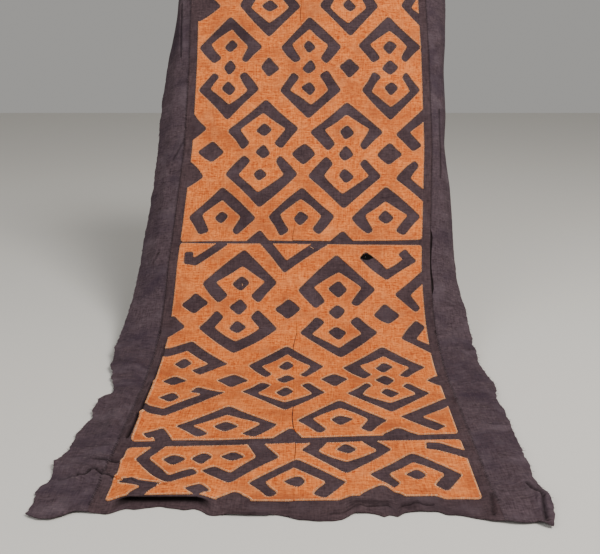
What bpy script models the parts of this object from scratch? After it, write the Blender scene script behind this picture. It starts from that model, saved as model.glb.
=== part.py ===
"""Kuba raffia cloth, hanging from its top edge and running out over the floor.

A dark raffia ground cloth has a side border sewn along each long edge. Orange
raffia panels lie on it in three lengths, each a left and a right half, cut
through with hook and lozenge windows that let the dark ground show.

Every piece is cut flat first, as its maker would cut it: x is the distance
across from the middle, y the distance along from the bottom hem, and z the
height over the ground cloth. It is then draped. The origin is the middle of
the top edge, +Z is up, and the cloth runs out over the floor towards -Y.
"""
import bisect
import math
import random
from collections import namedtuple

import bmesh
import bpy
from mathutils import Vector

# Sizes in metres
CLOTH_LENGTH = 1.71
FIELD_HALF = 0.292      # the flat middle, under the orange panels
PANEL_HALF = 0.290      # outer edge of the orange panels
SEAM_ACROSS = 0.311     # where the side borders are sewn to the ground
PIECE_GAP = 0.0003
GROUND_THICK = 0.0015
PANEL_THICK = 0.0011
CENTRE_SEAM = 0.0012    # open line between the left and right panel halves
HAND_WOBBLE = 0.0028    # how far a hand-cut corner strays
SMALLEST_PATCH = 0.0004  # square metres, less is a waste scrap
FIELD_COLUMNS = 14
BORDER_COLUMNS = 4
HEM_BAND = 0.040        # dark border below the panels, where the hem wanders
CURL_START = 0.030      # how far out from the field the ridges reach full height
EDGE_BOW = 0.0015       # how far a panel's cut edge strays from straight
NORMAL_STEP = 0.002     # reach of the slope measured for a surface's normal
SIDE_STEP = 0.001       # step along the side view
CUTTER_REACH = 0.010    # how far a cutter stands past the sheet it cuts
MITRE_LIMIT = 0.6       # a bend's mitre is at most 1 / 0.6 of a band's half width

# Side view of the cloth: slope in degrees, and the sideways drift of its middle
Profile = namedtuple("Profile", "along slope drift")
PROFILE = [
    Profile(0.00, 0.0, -0.030),
    Profile(0.46, 0.0, -0.027),
    Profile(0.56, 5.0, -0.027),
    Profile(0.66, 18.0, -0.026),
    Profile(0.76, 36.0, -0.025),
    Profile(0.88, 50.0, -0.023),
    Profile(1.00, 53.0, -0.014),
    Profile(1.20, 55.0, 0.000),
    Profile(1.45, 57.0, 0.003),
    Profile(1.71, 57.5, 0.000),
]

# How closely the cross lines lie along the cloth, close where it bends
Spacing = namedtuple("Spacing", "start end lines")
SPACINGS = [
    Spacing(0.000, 0.046, 8),
    Spacing(0.046, 0.130, 4),
    Spacing(0.130, 0.460, 7),
    Spacing(0.460, 1.000, 18),
    Spacing(1.000, 1.710, 10),
]

# The border's flat width beyond the field, and how far its edge curls back
Border = namedtuple("Border", "along width curl")
LEFT_BORDER = [
    Border(0.000, 0.113, 0),
    Border(0.030, 0.107, 0),
    Border(0.070, 0.112, 0),
    Border(0.100, 0.104, 0),
    Border(0.155, 0.108, 0),
    Border(0.200, 0.098, 0),
    Border(0.264, 0.098, 0),
    Border(0.330, 0.089, 0),
    Border(0.390, 0.089, 0),
    Border(0.430, 0.070, 0),
    Border(0.545, 0.099, 0),
    Border(0.635, 0.109, 4),
    Border(0.710, 0.106, 12),
    Border(0.804, 0.105, 28),
    Border(0.880, 0.105, 44),
    Border(1.082, 0.105, 50),
    Border(1.220, 0.104, 48),
    Border(1.347, 0.105, 54),
    Border(1.484, 0.105, 70),
    Border(1.600, 0.105, 96),
    Border(1.710, 0.105, 108),
]
RIGHT_BORDER = [
    Border(0.000, 0.084, 0),
    Border(0.020, 0.095, 0),
    Border(0.040, 0.102, 0),
    Border(0.115, 0.094, 0),
    Border(0.157, 0.095, 0),
    Border(0.235, 0.096, 0),
    Border(0.305, 0.101, 0),
    Border(0.405, 0.098, 0),
    Border(0.490, 0.107, 0),
    Border(0.575, 0.097, 2),
    Border(0.650, 0.099, 6),
    Border(0.715, 0.102, 18),
    Border(0.770, 0.103, 28),
    Border(0.849, 0.103, 52),
    Border(0.952, 0.103, 64),
    Border(1.120, 0.102, 78),
    Border(1.220, 0.103, 104),
    Border(1.310, 0.102, 88),
    Border(1.446, 0.103, 90),
    Border(1.535, 0.102, 76),
    Border(1.710, 0.103, 62),
]

# The hem: how far its edge is set in from a straight line
Hem = namedtuple("Hem", "across inset")
HEM = [
    Hem(-0.41, 0.016),
    Hem(-0.37, 0.000),
    Hem(-0.33, 0.014),
    Hem(-0.27, 0.018),
    Hem(-0.12, 0.012),
    Hem(-0.03, 0.004),
    Hem(0.05, -0.004),
    Hem(0.12, 0.006),
    Hem(0.20, 0.010),
    Hem(0.25, 0.006),
    Hem(0.30, -0.010),
    Hem(0.33, -0.016),
    Hem(0.36, -0.014),
    Hem(0.38, -0.026),
]

# Where the hem is tucked under, and how fully
Tuck = namedtuple("Tuck", "centre reach turn")
TUCKS = [
    Tuck(-0.175, 0.092, 1.00),
    Tuck(0.116, 0.050, 0.55),
    Tuck(0.192, 0.046, 0.45),
]

# The way a full tuck heads, in degrees below level, going down to the hem
TuckPath = namedtuple("TuckPath", "along heading")
TUCK_PATH = [
    TuckPath(0.000, 0),
    TuckPath(0.010, 4),
    TuckPath(0.017, 100),
    TuckPath(0.023, 155),
    TuckPath(0.031, 138),
    TuckPath(0.037, 66),
    TuckPath(0.045, 0),
    TuckPath(0.060, -12),
    TuckPath(0.105, -12),
    TuckPath(0.130, 0),
]

# Soft ridges in the side borders, each a line on the flat cloth
Ridge = namedtuple("Ridge", "across along end_across end_along height reach")
RIDGES = [
    Ridge(-0.405, 0.155, -0.320, 0.130, 0.0060, 0.016),
    Ridge(-0.400, 0.215, -0.330, 0.205, 0.0040, 0.018),
    Ridge(-0.345, 0.440, -0.330, 0.255, 0.0070, 0.016),
    Ridge(-0.390, 0.640, -0.350, 0.560, 0.0080, 0.026),
    Ridge(-0.400, 0.340, -0.370, 0.400, 0.0050, 0.020),
    Ridge(0.350, 0.600, 0.380, 0.420, 0.0050, 0.022),
    Ridge(0.340, 0.320, 0.365, 0.090, 0.0040, 0.018),
    Ridge(0.330, 0.030, 0.400, 0.060, 0.0050, 0.018),
    Ridge(-0.352, 1.640, -0.350, 0.900, 0.0030, 0.012),
    Ridge(0.352, 1.560, 0.350, 1.050, 0.0035, 0.010),
]

# A stretch of the right border's seam has come open
SLIT_START = 0.790
SLIT_END = 0.975
SLIT_WIDTH = 0.0035

# The three lengths of orange cloth, by where their edges meet the borders,
# and where across its left and right halves meet
Panel = namedtuple("Panel", "name bottom_left bottom_right top_left top_right centre")
PANELS = [
    Panel("top", 0.943, 0.946, 1.682, 1.680, -0.018),
    Panel("middle", 0.236, 0.266, 0.939, 0.933, -0.007),
    Panel("bottom", 0.041, 0.050, 0.214, 0.245, -0.001),
]

# One side of a hook window, from its outer point round to its inner point
Corner = namedtuple("Corner", "across along")
HOOK_SIDE = [
    Corner(0.000, 0.086),
    Corner(0.086, 0.001),
    Corner(0.046, -0.049),
    Corner(0.031, -0.035),
    Corner(0.056, 0.004),
    Corner(0.000, 0.051),
]
HOOK_OFFSET = 0.061     # a hook's own lozenge from the middle of its pair
SIDE_PAIR_OFFSET = 0.049
SMALL_LOZENGE = 0.018   # half its width
LARGE_LOZENGE = 0.029

# Rows of motifs. A pair is an upper hook, a middle lozenge and a lower hook,
# with a large lozenge between it and the next pair. Width and height are shares
# of a full motif.
Row = namedtuple("Row", "panel kind along tilt width height centres")
ROWS = [
    Row("top", "pairs", 1.672, 0.00, 0.92, 1.08, (-0.102, 0.106, 0.322)),
    Row("top", "pairs", 1.423, 0.00, 0.90, 1.00, (-0.204, 0.002, 0.210)),
    Row("top", "pairs", 1.181, -0.02, 1.03, 1.00, (-0.113, 0.096, 0.311)),
    Row("top", "upper", 0.948, 0.00, 0.93, 0.96, (-0.200, -0.005, 0.200)),
    Row("top", "lozenge", 1.607, 0.00, 1.75, 1.75, (-0.285,)),
    Row("top", "lozenge", 1.184, 0.00, 1.10, 1.10, (-0.240,)),
    Row("top", "lozenge", 1.252, 0.00, 1.35, 1.35, (-0.294,)),
    Row("top", "lozenge", 1.117, 0.00, 1.35, 1.35, (-0.297,)),
    Row("top", "lozenge", 0.940, 0.00, 1.05, 1.15, (-0.103, 0.095)),
    Row("middle", "pairs", 0.760, -0.07, 1.02, 1.02, (-0.138, 0.090, 0.316)),
    Row("middle", "pairs", 0.503, -0.02, 0.96, 0.98, (-0.024, 0.183, 0.400)),
    Row("middle", "upper", 0.243, 0.09, 1.08, 1.00, (-0.127,)),
    Row("middle", "upper", 0.252, 0.09, 0.98, 0.98, (0.084,)),
    Row("middle", "lozenge", 0.776, 0.00, 1.05, 1.05, (-0.238,)),
    Row("middle", "lozenge", 0.708, 0.00, 1.20, 1.20, (-0.288,)),
    Row("middle", "lozenge", 0.577, 0.00, 0.62, 0.64, (-0.245,)),
    Row("middle", "lozenge", 0.496, 0.00, 0.70, 0.76, (-0.251,)),
    Row("middle", "lozenge", 0.496, 0.00, 0.94, 0.98, (-0.132,)),
    Row("middle", "lozenge", 0.418, 0.00, 0.62, 0.64, (-0.248,)),
    Row("middle", "lozenge", 0.248, 0.00, 0.95, 1.48, (-0.013,)),
    Row("middle", "lozenge", 0.258, 0.00, 1.30, 1.15, (0.187,)),
    Row("bottom", "side", 0.190, 0.08, 0.90, 1.00, (-0.156,)),
    Row("bottom", "lower", 0.272, 0.00, 0.90, 0.92, (0.088,)),
    Row("bottom", "upper", 0.042, 0.06, 0.90, 0.92, (0.002,)),
    Row("bottom", "upper", 0.052, 0.06, 0.90, 0.92, (0.198,)),
    Row("bottom", "lozenge", 0.065, 0.00, 0.72, 0.72, (-0.151,)),
    Row("bottom", "lozenge", 0.044, 0.00, 0.95, 1.00, (-0.094,)),
    Row("bottom", "lozenge", 0.044, 0.00, 1.30, 1.35, (0.136,)),
]

# Odd arms where a motif runs out at a panel's edge, each along a bent line
Band = namedtuple("Band", "panel width line")
BANDS = [
    Band("middle", 0.018, ((-0.266, 0.914), (-0.265, 0.893), (-0.248, 0.890), (-0.182, 0.942))),
    Band("middle", 0.021, ((-0.092, 0.948), (-0.033, 0.876), (0.058, 0.944))),
    Band("middle", 0.020, ((0.147, 0.914), (0.207, 0.855), (0.262, 0.893), (0.243, 0.915))),
    Band("middle", 0.022, ((-0.300, 0.612), (-0.238, 0.645), (-0.169, 0.575), (-0.212, 0.536))),
    Band("middle", 0.022, ((-0.200, 0.453), (-0.166, 0.437), (-0.251, 0.352), (-0.300, 0.372))),
    Band("middle", 0.022, ((0.300, 0.405), (0.214, 0.334), (0.262, 0.286))),
    Band("middle", 0.018, ((-0.270, 0.256), (-0.249, 0.281), (-0.226, 0.214))),
    Band("bottom", 0.018, ((-0.275, 0.094), (-0.262, 0.098), (-0.226, 0.070), (-0.250, 0.030))),
    Band("bottom", 0.021, ((0.228, 0.222), (0.246, 0.220), (0.300, 0.186))),
]

BURN_HOLE_ACROSS = 0.158
BURN_HOLE_ALONG = 0.902
BURN_HOLE_RADIUS = 0.006
BURN_HOLE_SIDES = 7


def read_table(table, place, column):
    """A column's value between two rows of a table, whose first column is the place."""
    places = [row[0] for row in table]
    after = min(max(bisect.bisect_right(places, place), 1), len(table) - 1)
    low, high = table[after - 1], table[after]
    share = min(max((place - low[0]) / (high[0] - low[0]), 0.0), 1.0)
    return getattr(low, column) * (1 - share) + getattr(high, column) * share


def soft_step(share):
    """0 to 1 with soft ends."""
    share = min(max(share, 0.0), 1.0)
    return share * share * (3 - 2 * share)


def side_view():
    """The middle line's (y, z) at each step from the hem, ending at the origin."""
    line = [(0.0, 0.0)]
    for index in range(round(CLOTH_LENGTH / SIDE_STEP)):
        slope = math.radians(read_table(PROFILE, (index + 0.5) * SIDE_STEP, "slope"))
        y, z = line[-1]
        line.append((y + math.cos(slope) * SIDE_STEP, z + math.sin(slope) * SIDE_STEP))
    end_y, end_z = line[-1]
    return [(y - end_y, z - end_z) for y, z in line]


SIDE_LINE = side_view()


def middle_point(along):
    """Middle line's point and slope at a distance from the hem, level past it."""
    index = min(max(along, 0.0), CLOTH_LENGTH) / SIDE_STEP
    low = min(int(index), len(SIDE_LINE) - 2)
    share = index - low
    y = SIDE_LINE[low][0] * (1 - share) + SIDE_LINE[low + 1][0] * share + min(along, 0.0)
    z = SIDE_LINE[low][1] * (1 - share) + SIDE_LINE[low + 1][1] * share
    return y, z, math.radians(read_table(PROFILE, along, "slope"))


def tuck_turn(across):
    """How fully the hem is tucked under here, 0 to 1."""
    turn = 0.0
    for tuck in TUCKS:
        distance = abs(across - tuck.centre) / tuck.reach
        turn = max(turn, tuck.turn * soft_step(2.0 - 2.0 * distance))
    return turn


def tuck_shift(across, along):
    """What the tuck adds to y and z, so that the hem still ends on the floor."""
    turn = tuck_turn(across)
    start = TUCK_PATH[-1].along
    if turn == 0.0 or along >= start:
        return 0.0, 0.0
    heights = [0.0]
    forward = [0.0]
    for index in range(round(start / SIDE_STEP)):
        place = start - (index + 0.5) * SIDE_STEP
        heading = math.radians(turn * read_table(TUCK_PATH, place, "heading"))
        forward.append(forward[-1] + math.cos(heading) * SIDE_STEP)
        heights.append(heights[-1] - math.sin(heading) * SIDE_STEP)
    crest = max(heights)
    crest_index = heights.index(crest)
    index = min(round((start - along) / SIDE_STEP), len(heights) - 1)
    height = heights[index]
    if index > crest_index:
        height = crest * (height - heights[-1]) / (crest - heights[-1])
    return (start - along) - forward[index], height


def ridge_height(across, along):
    """Height of the soft ridges at a place on the flat cloth."""
    height = 0.0
    for ridge in RIDGES:
        run = Vector((ridge.end_across - ridge.across, ridge.end_along - ridge.along))
        here = Vector((across - ridge.across, along - ridge.along))
        share = min(max(here.dot(run) / run.length_squared, 0.0), 1.0)
        distance = (here - run * share).length
        height += ridge.height * math.exp(-(distance / ridge.reach) ** 2)
    return height


def border_table(across):
    return LEFT_BORDER if across < 0 else RIGHT_BORDER


def surface_point(across, along):
    """Place of a point of the flat cloth's upper face once it is draped."""
    y, z, slope = middle_point(along)
    x = across
    rise = 0.0
    beyond = abs(across) - FIELD_HALF
    if beyond > 0.0:
        table = border_table(across)
        curl = math.radians(read_table(table, along, "curl"))
        bend = max(curl / read_table(table, along, "width"), 0.001)
        x = math.copysign(FIELD_HALF + math.sin(bend * beyond) / bend, across)
        rise = -(1 - math.cos(bend * beyond)) / bend
        rise += ridge_height(across, along) * soft_step(beyond / CURL_START)
    shift_y, shift_z = tuck_shift(across, along)
    drift = read_table(PROFILE, along, "drift")
    return Vector((
        x + drift,
        y - rise * math.sin(slope) + shift_y,
        z + rise * math.cos(slope) + shift_z,
    ))


def surface_normal(across, along):
    """Upward normal of the draped surface."""
    sideways = surface_point(across + NORMAL_STEP, along) - surface_point(across - NORMAL_STEP, along)
    onward = surface_point(across, along + NORMAL_STEP) - surface_point(across, along - NORMAL_STEP)
    return sideways.cross(onward).normalized()


def cross_lines():
    """Distances along the cloth at which the sheets have a line of points."""
    lines = []
    for spacing in SPACINGS:
        for index in range(spacing.lines):
            share = index / spacing.lines
            lines.append(spacing.start + (spacing.end - spacing.start) * share)
    lines.append(CLOTH_LENGTH)
    return lines


def even(start, end, count):
    """Evenly spaced values, with both ends."""
    return [start + (end - start) * index / count for index in range(count + 1)]


class Drape:
    """Faceted draped surface over a grid of the flat cloth."""

    def __init__(self, columns, lines, edit=None):
        self.columns = columns
        self.lines = lines
        self.points = []
        self.normals = []
        for along in lines:
            places = [(across, along) for across in columns]
            if edit:
                places = [edit(across, along) for across, along in places]
            self.points.append([surface_point(*place) for place in places])
            self.normals.append([surface_normal(*place) for place in places])

    def place(self, across, along, lift):
        """Draped place of a flat point, on the facet that it lies over."""
        column = bisect.bisect_right(self.columns, across + 1e-6) - 1
        column = min(max(column, 0), len(self.columns) - 2)
        line = bisect.bisect_right(self.lines, along + 1e-6) - 1
        line = min(max(line, 0), len(self.lines) - 2)
        a = (across - self.columns[column]) / (self.columns[column + 1] - self.columns[column])
        b = (along - self.lines[line]) / (self.lines[line + 1] - self.lines[line])
        weights = [((0, 0), 1 - max(a, b)), ((1, 1), min(a, b))]
        weights.append(((0, 1), a - b) if a >= b else ((1, 0), b - a))
        point = Vector()
        normal = Vector()
        for (up, over), weight in weights:
            point += self.points[line + up][column + over] * weight
            normal += self.normals[line + up][column + over] * weight
        return point + normal.normalized() * lift


def flat_sheet(name, columns, lines, low, high):
    """Flat slab over a grid, its faces split along the drape's diagonals."""
    bm = bmesh.new()
    across_count = len(columns) - 1
    along_count = len(lines) - 1
    bmesh.ops.create_grid(bm, x_segments=across_count, y_segments=along_count, size=0.5)
    for vert in bm.verts:
        column = round((vert.co.x + 0.5) * across_count)
        line = round((vert.co.y + 0.5) * along_count)
        vert.co = (columns[column], lines[line], high)
    for face in list(bm.faces):
        corners = sorted(face.verts, key=lambda vert: vert.co.x + vert.co.y)
        bmesh.utils.face_split(face, corners[0], corners[-1])
    bm.normal_update()
    grown = bmesh.ops.extrude_face_region(bm, geom=bm.faces[:])
    for item in grown["geom"]:
        if isinstance(item, bmesh.types.BMVert):
            item.co.z = low
    bmesh.ops.recalc_face_normals(bm, faces=bm.faces[:])
    return object_from(bm, name)


def object_from(bm, name):
    mesh = bpy.data.meshes.new(name)
    bm.to_mesh(mesh)
    bm.free()
    return bpy.data.objects.new(name, mesh)


def prisms(name, outlines):
    """One upright prism for each flat outline, thick enough to cut any sheet."""
    bm = bmesh.new()
    for outline in outlines:
        verts = [bm.verts.new((across, along, -CUTTER_REACH)) for across, along in outline]
        face = bm.faces.new(verts)
        grown = bmesh.ops.extrude_face_region(bm, geom=[face])
        for item in grown["geom"]:
            if isinstance(item, bmesh.types.BMVert):
                item.co.z = CUTTER_REACH
    bmesh.ops.recalc_face_normals(bm, faces=bm.faces[:])
    return object_from(bm, name)


def cut(sheet, cutter, operation):
    """Boolean between a flat sheet and a cutter, applied."""
    modifier = sheet.modifiers.new("cut", "BOOLEAN")
    modifier.operation = operation
    modifier.solver = "EXACT"
    modifier.use_self = True
    modifier.object = cutter
    graph = bpy.context.evaluated_depsgraph_get()
    mesh = bpy.data.meshes.new_from_object(sheet.evaluated_get(graph))
    sheet.modifiers.clear()
    sheet.data = mesh


def drape_sheet(sheet, drape):
    for vert in sheet.data.vertices:
        vert.co = drape.place(*vert.co)


def stray(hand, outline):
    """The outline with each corner a little off, as cut by hand."""
    moved = []
    for across, along in outline:
        moved.append((across + hand.uniform(-1, 1) * HAND_WOBBLE,
                      along + hand.uniform(-1, 1) * HAND_WOBBLE))
    return moved


def turned(corner, facing):
    """A corner of the upward hook, for a hook that faces another way."""
    across, along = corner
    if facing == "down":
        return across, -along
    if facing == "left":
        return -along, across
    if facing == "right":
        return along, across
    return across, along


def hook(hand, across, along, row, facing):
    """Outline of a hook window round the lozenge at this place."""
    other_side = [Corner(-corner.across, corner.along) for corner in HOOK_SIDE[-2:0:-1]]
    outline = []
    for corner in HOOK_SIDE + other_side:
        step_across, step_along = turned(corner, facing)
        outline.append((across + step_across * row.width, along + step_along * row.height))
    return stray(hand, outline)


def lozenge(hand, across, along, half_across, half_along):
    corners = [(0, half_along), (half_across, 0), (0, -half_along), (-half_across, 0)]
    return stray(hand, [(across + step[0], along + step[1]) for step in corners])


def band(line, width):
    """Outline of a window of even width along a bent line, with mitred bends."""
    points = [Vector(point) for point in line]
    runs = [(after - before).normalized() for before, after in zip(points, points[1:])]
    left = []
    right = []
    for index, point in enumerate(points):
        before = runs[max(index - 1, 0)]
        after = runs[min(index, len(runs) - 1)]
        along = (before + after).normalized()
        reach = width / 2 / max(along.dot(after), MITRE_LIMIT)
        side = Vector((-along.y, along.x)) * reach
        left.append(tuple(point + side))
        right.append(tuple(point - side))
    return left + right[::-1]


def hook_with_lozenge(hand, across, along, row, facing):
    eye = lozenge(hand, across, along, SMALL_LOZENGE, SMALL_LOZENGE)
    return [hook(hand, across, along, row, facing), eye]


def row_windows(hand, row):
    """Outlines of all the windows of a row of motifs."""
    windows = []
    large = (LARGE_LOZENGE * row.width, LARGE_LOZENGE * row.height)
    offset = HOOK_OFFSET * row.height
    for across in row.centres:
        along = row.along + row.tilt * across
        if row.kind in ("pairs", "upper"):
            windows += hook_with_lozenge(hand, across, along + offset, row, "up")
        if row.kind in ("pairs", "lower"):
            windows += hook_with_lozenge(hand, across, along - offset, row, "down")
        if row.kind == "side":
            for facing, way in (("left", -1), ("right", 1)):
                place = across + way * SIDE_PAIR_OFFSET
                windows += hook_with_lozenge(hand, place, along + row.tilt * (place - across), row, facing)
        if row.kind in ("pairs", "side"):
            windows.append(lozenge(hand, across, along, SMALL_LOZENGE, SMALL_LOZENGE))
        if row.kind == "lozenge":
            windows.append(lozenge(hand, across, along, *large))
    if row.kind == "pairs":
        for left, right in zip(row.centres, row.centres[1:]):
            across = (left + right) / 2
            windows.append(lozenge(hand, across, row.along + row.tilt * across, *large))
    return windows


def panel_outline(hand, panel, side):
    """Flat outline of one half of a panel, its edges a little uneven."""
    if side == "left":
        inner = panel.centre - CENTRE_SEAM / 2
        ends = (-PANEL_HALF, inner)
    else:
        inner = panel.centre + CENTRE_SEAM / 2
        ends = (inner, PANEL_HALF)

    def along_at(across, left, right):
        share = (across + PANEL_HALF) / (2 * PANEL_HALF)
        return left + (right - left) * share

    outline = []
    steps = even(ends[0], ends[1], 4)
    for across in steps:
        bow = hand.uniform(-EDGE_BOW, EDGE_BOW)
        bottom = along_at(across, panel.bottom_left, panel.bottom_right)
        outline.append((across, bottom + bow))
    for across in reversed(steps):
        bow = hand.uniform(-EDGE_BOW, EDGE_BOW)
        top = along_at(across, panel.top_left, panel.top_right)
        outline.append((across, top + bow))
    return outline


def loose_pieces(sheet):
    """The sheet's separate bodies, largest first, as lists of face indices."""
    bm = bmesh.new()
    bm.from_mesh(sheet.data)
    bm.faces.ensure_lookup_table()
    waiting = set(range(len(bm.faces)))
    pieces = []
    while waiting:
        stack = [waiting.pop()]
        piece = []
        while stack:
            index = stack.pop()
            piece.append(index)
            for edge in bm.faces[index].edges:
                for face in edge.link_faces:
                    if face.index in waiting:
                        waiting.discard(face.index)
                        stack.append(face.index)
        area = sum(bm.faces[index].calc_area() for index in piece) / 2
        centre = sum((bm.faces[index].calc_center_median().x for index in piece)) / len(piece)
        pieces.append((area, centre, piece))
    bm.free()
    return sorted(pieces, reverse=True)


def keep_faces(sheet, name, piece):
    """A new object with only the named faces of the sheet."""
    kept = set(piece)
    bm = bmesh.new()
    bm.from_mesh(sheet.data)
    extra = [face for face in bm.faces if face.index not in kept]
    bmesh.ops.delete(bm, geom=extra, context="FACES")
    return object_from(bm, name)


def raffia(name, colour, roughness):
    """Plain dyed raffia."""
    material = bpy.data.materials.new(name)
    material.use_nodes = True
    shader = material.node_tree.nodes["Principled BSDF"]
    shader.inputs["Base Color"].default_value = (*colour, 1.0)
    shader.inputs["Roughness"].default_value = roughness
    shader.inputs["Metallic"].default_value = 0.0
    return material


def add_piece(collection, piece, material):
    piece.data.materials.clear()
    piece.data.materials.append(material)
    collection.objects.link(piece)


def field_lines(low, high):
    """Cross lines that a panel needs, from just below it to just above it."""
    start = low - CUTTER_REACH
    end = high + CUTTER_REACH
    return [start] + [along for along in LINES if start < along < end] + [end]


LINES = cross_lines()
FIELD_EDGES = even(-FIELD_HALF, FIELD_HALF, FIELD_COLUMNS)
GROUND_COLUMNS = [-SEAM_ACROSS] + FIELD_EDGES + [SEAM_ACROSS]


def hem_edit(across, along):
    """Moves the bottom lines so that the hem wanders."""
    if along >= HEM_BAND:
        return across, along
    inset = read_table(HEM, across, "inset")
    return across, along + inset * (1 - along / HEM_BAND)


def build_ground(collection, cutters, drape):
    sheet = flat_sheet("ground_cloth", GROUND_COLUMNS, LINES, -GROUND_THICK, 0.0)
    bpy.context.scene.collection.objects.link(sheet)
    rim = []
    for index in range(BURN_HOLE_SIDES):
        turn = math.tau * index / BURN_HOLE_SIDES
        rim.append((BURN_HOLE_ACROSS + BURN_HOLE_RADIUS * math.cos(turn),
                    BURN_HOLE_ALONG + BURN_HOLE_RADIUS * math.sin(turn)))
    hole = prisms("cutter_burn_hole", [rim])
    cutters.objects.link(hole)
    cut(sheet, hole, "DIFFERENCE")
    bpy.context.scene.collection.objects.unlink(sheet)
    drape_sheet(sheet, drape)
    add_piece(collection, sheet, raffia("dark_raffia_ground", (0.075, 0.054, 0.058), 0.85))


def build_border(collection, side):
    """Side border strip, its seam edge beside the ground and its outer edge uneven."""
    way = -1 if side == "left" else 1
    table = border_table(way)

    def edit(share, along):
        outer = FIELD_HALF + read_table(table, along, "width")
        inner = SEAM_ACROSS + PIECE_GAP
        if side == "right" and SLIT_START < along < SLIT_END:
            middle = (along - SLIT_START) / (SLIT_END - SLIT_START)
            inner += SLIT_WIDTH * math.sin(math.pi * middle)
        return hem_edit(way * (inner + (outer - inner) * abs(share)), along)

    shares = even(-1, 0, BORDER_COLUMNS) if side == "left" else even(0, 1, BORDER_COLUMNS)
    drape = Drape(shares, LINES, edit)
    sheet = flat_sheet("border_" + side, shares, LINES, -GROUND_THICK, 0.0)
    drape_sheet(sheet, drape)
    add_piece(collection, sheet, raffia("dark_raffia_" + side, (0.068, 0.050, 0.055), 0.88))


def build_panel(collection, cutters, drape, panel, hand):
    """Both halves of an orange panel, and the loose patches its windows leave."""
    windows = []
    for row in ROWS:
        if row.panel == panel.name:
            windows += row_windows(hand, row)
    windows += [band(item.line, item.width) for item in BANDS if item.panel == panel.name]
    window_cutter = prisms("cutter_windows_" + panel.name, windows)
    cutters.objects.link(window_cutter)
    low = min(panel.bottom_left, panel.bottom_right)
    high = max(panel.top_left, panel.top_right)
    patches = 0
    for side in ("left", "right"):
        columns = [-FIELD_HALF, FIELD_HALF]
        if low < TUCK_PATH[-1].along:
            columns = FIELD_EDGES
        sheet = flat_sheet("sheet", columns, field_lines(low, high),
                           PIECE_GAP, PIECE_GAP + PANEL_THICK)
        bpy.context.scene.collection.objects.link(sheet)
        outline = prisms("cutter_%s_%s" % (panel.name, side), [panel_outline(hand, panel, side)])
        cutters.objects.link(outline)
        cut(sheet, outline, "INTERSECT")
        cut(sheet, window_cutter, "DIFFERENCE")
        bpy.context.scene.collection.objects.unlink(sheet)
        colour = raffia("orange_raffia_%s_%s" % (panel.name, side), (0.72, 0.225, 0.070), 0.80)
        for number, (area, centre, piece) in enumerate(loose_pieces(sheet)):
            name = "panel_%s_%s" % (panel.name, side)
            if number:
                if area < SMALLEST_PATCH:
                    continue
                patches += 1
                name = "patch_%s_%d" % (panel.name, patches)
            kept = keep_faces(sheet, name, piece)
            drape_sheet(kept, drape)
            add_piece(collection, kept, colour)
        bpy.data.objects.remove(sheet)


def main():
    for item in list(bpy.data.objects):
        bpy.data.objects.remove(item)
    cloth = bpy.data.collections.new("kuba_raffia_cloth")
    cutters = bpy.data.collections.new("cutters")
    bpy.context.scene.collection.children.link(cloth)
    bpy.context.scene.collection.children.link(cutters)
    ground_drape = Drape(GROUND_COLUMNS, LINES, hem_edit)
    build_ground(cloth, cutters, ground_drape)
    for side in ("left", "right"):
        build_border(cloth, side)
    hand = random.Random(7)
    for panel in PANELS:
        build_panel(cloth, cutters, ground_drape, panel, hand)
    for cutter in cutters.objects:
        cutter.hide_render = True
        cutter.display_type = "WIRE"


main()
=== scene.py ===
# Kuba raffia cloth: a dark ground with side borders, orange panels cut through with
# hooks and lozenges, and pale overcast stitches round every cut edge.
import math
import random

import bpy
import numpy as np
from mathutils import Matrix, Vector, kdtree
from mathutils.geometry import delaunay_2d_cdt


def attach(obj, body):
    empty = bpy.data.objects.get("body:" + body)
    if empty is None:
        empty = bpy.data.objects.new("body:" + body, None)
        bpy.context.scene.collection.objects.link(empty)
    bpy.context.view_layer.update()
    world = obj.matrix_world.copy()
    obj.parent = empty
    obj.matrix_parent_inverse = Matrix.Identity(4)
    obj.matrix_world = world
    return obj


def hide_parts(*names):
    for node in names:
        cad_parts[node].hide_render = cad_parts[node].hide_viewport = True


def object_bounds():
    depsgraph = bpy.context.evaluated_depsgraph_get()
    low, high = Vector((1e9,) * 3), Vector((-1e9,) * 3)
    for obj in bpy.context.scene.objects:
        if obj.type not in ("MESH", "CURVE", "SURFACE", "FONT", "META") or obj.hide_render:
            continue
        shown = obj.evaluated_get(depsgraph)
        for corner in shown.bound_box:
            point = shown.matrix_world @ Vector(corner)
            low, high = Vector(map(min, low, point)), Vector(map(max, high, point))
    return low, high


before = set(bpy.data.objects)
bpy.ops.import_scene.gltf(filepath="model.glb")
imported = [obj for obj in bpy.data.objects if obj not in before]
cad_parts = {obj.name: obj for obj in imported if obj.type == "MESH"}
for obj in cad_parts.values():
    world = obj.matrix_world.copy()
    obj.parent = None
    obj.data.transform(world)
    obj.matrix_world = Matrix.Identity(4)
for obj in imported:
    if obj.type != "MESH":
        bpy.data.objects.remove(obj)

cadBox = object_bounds()
print("frame loaded:", len(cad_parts), "solids")


def table(columns, *rows):
    # a short table, read by its column names
    return dict(zip(columns.split(), np.array(rows, float).T))


def read(values, place, name):
    # a column's value between two rows, where the first column is the place
    return np.interp(place, next(iter(values.values())), values[name])


def linear(hexColour):
    # sRGB hex to linear red, green, blue and alpha
    channels = [int(hexColour[start:start + 2], 16) / 255 for start in (1, 3, 5)]
    return (*[c / 12.92 if c <= 0.04045 else ((c + 0.055) / 1.055) ** 2.4 for c in channels], 1.0)


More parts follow.
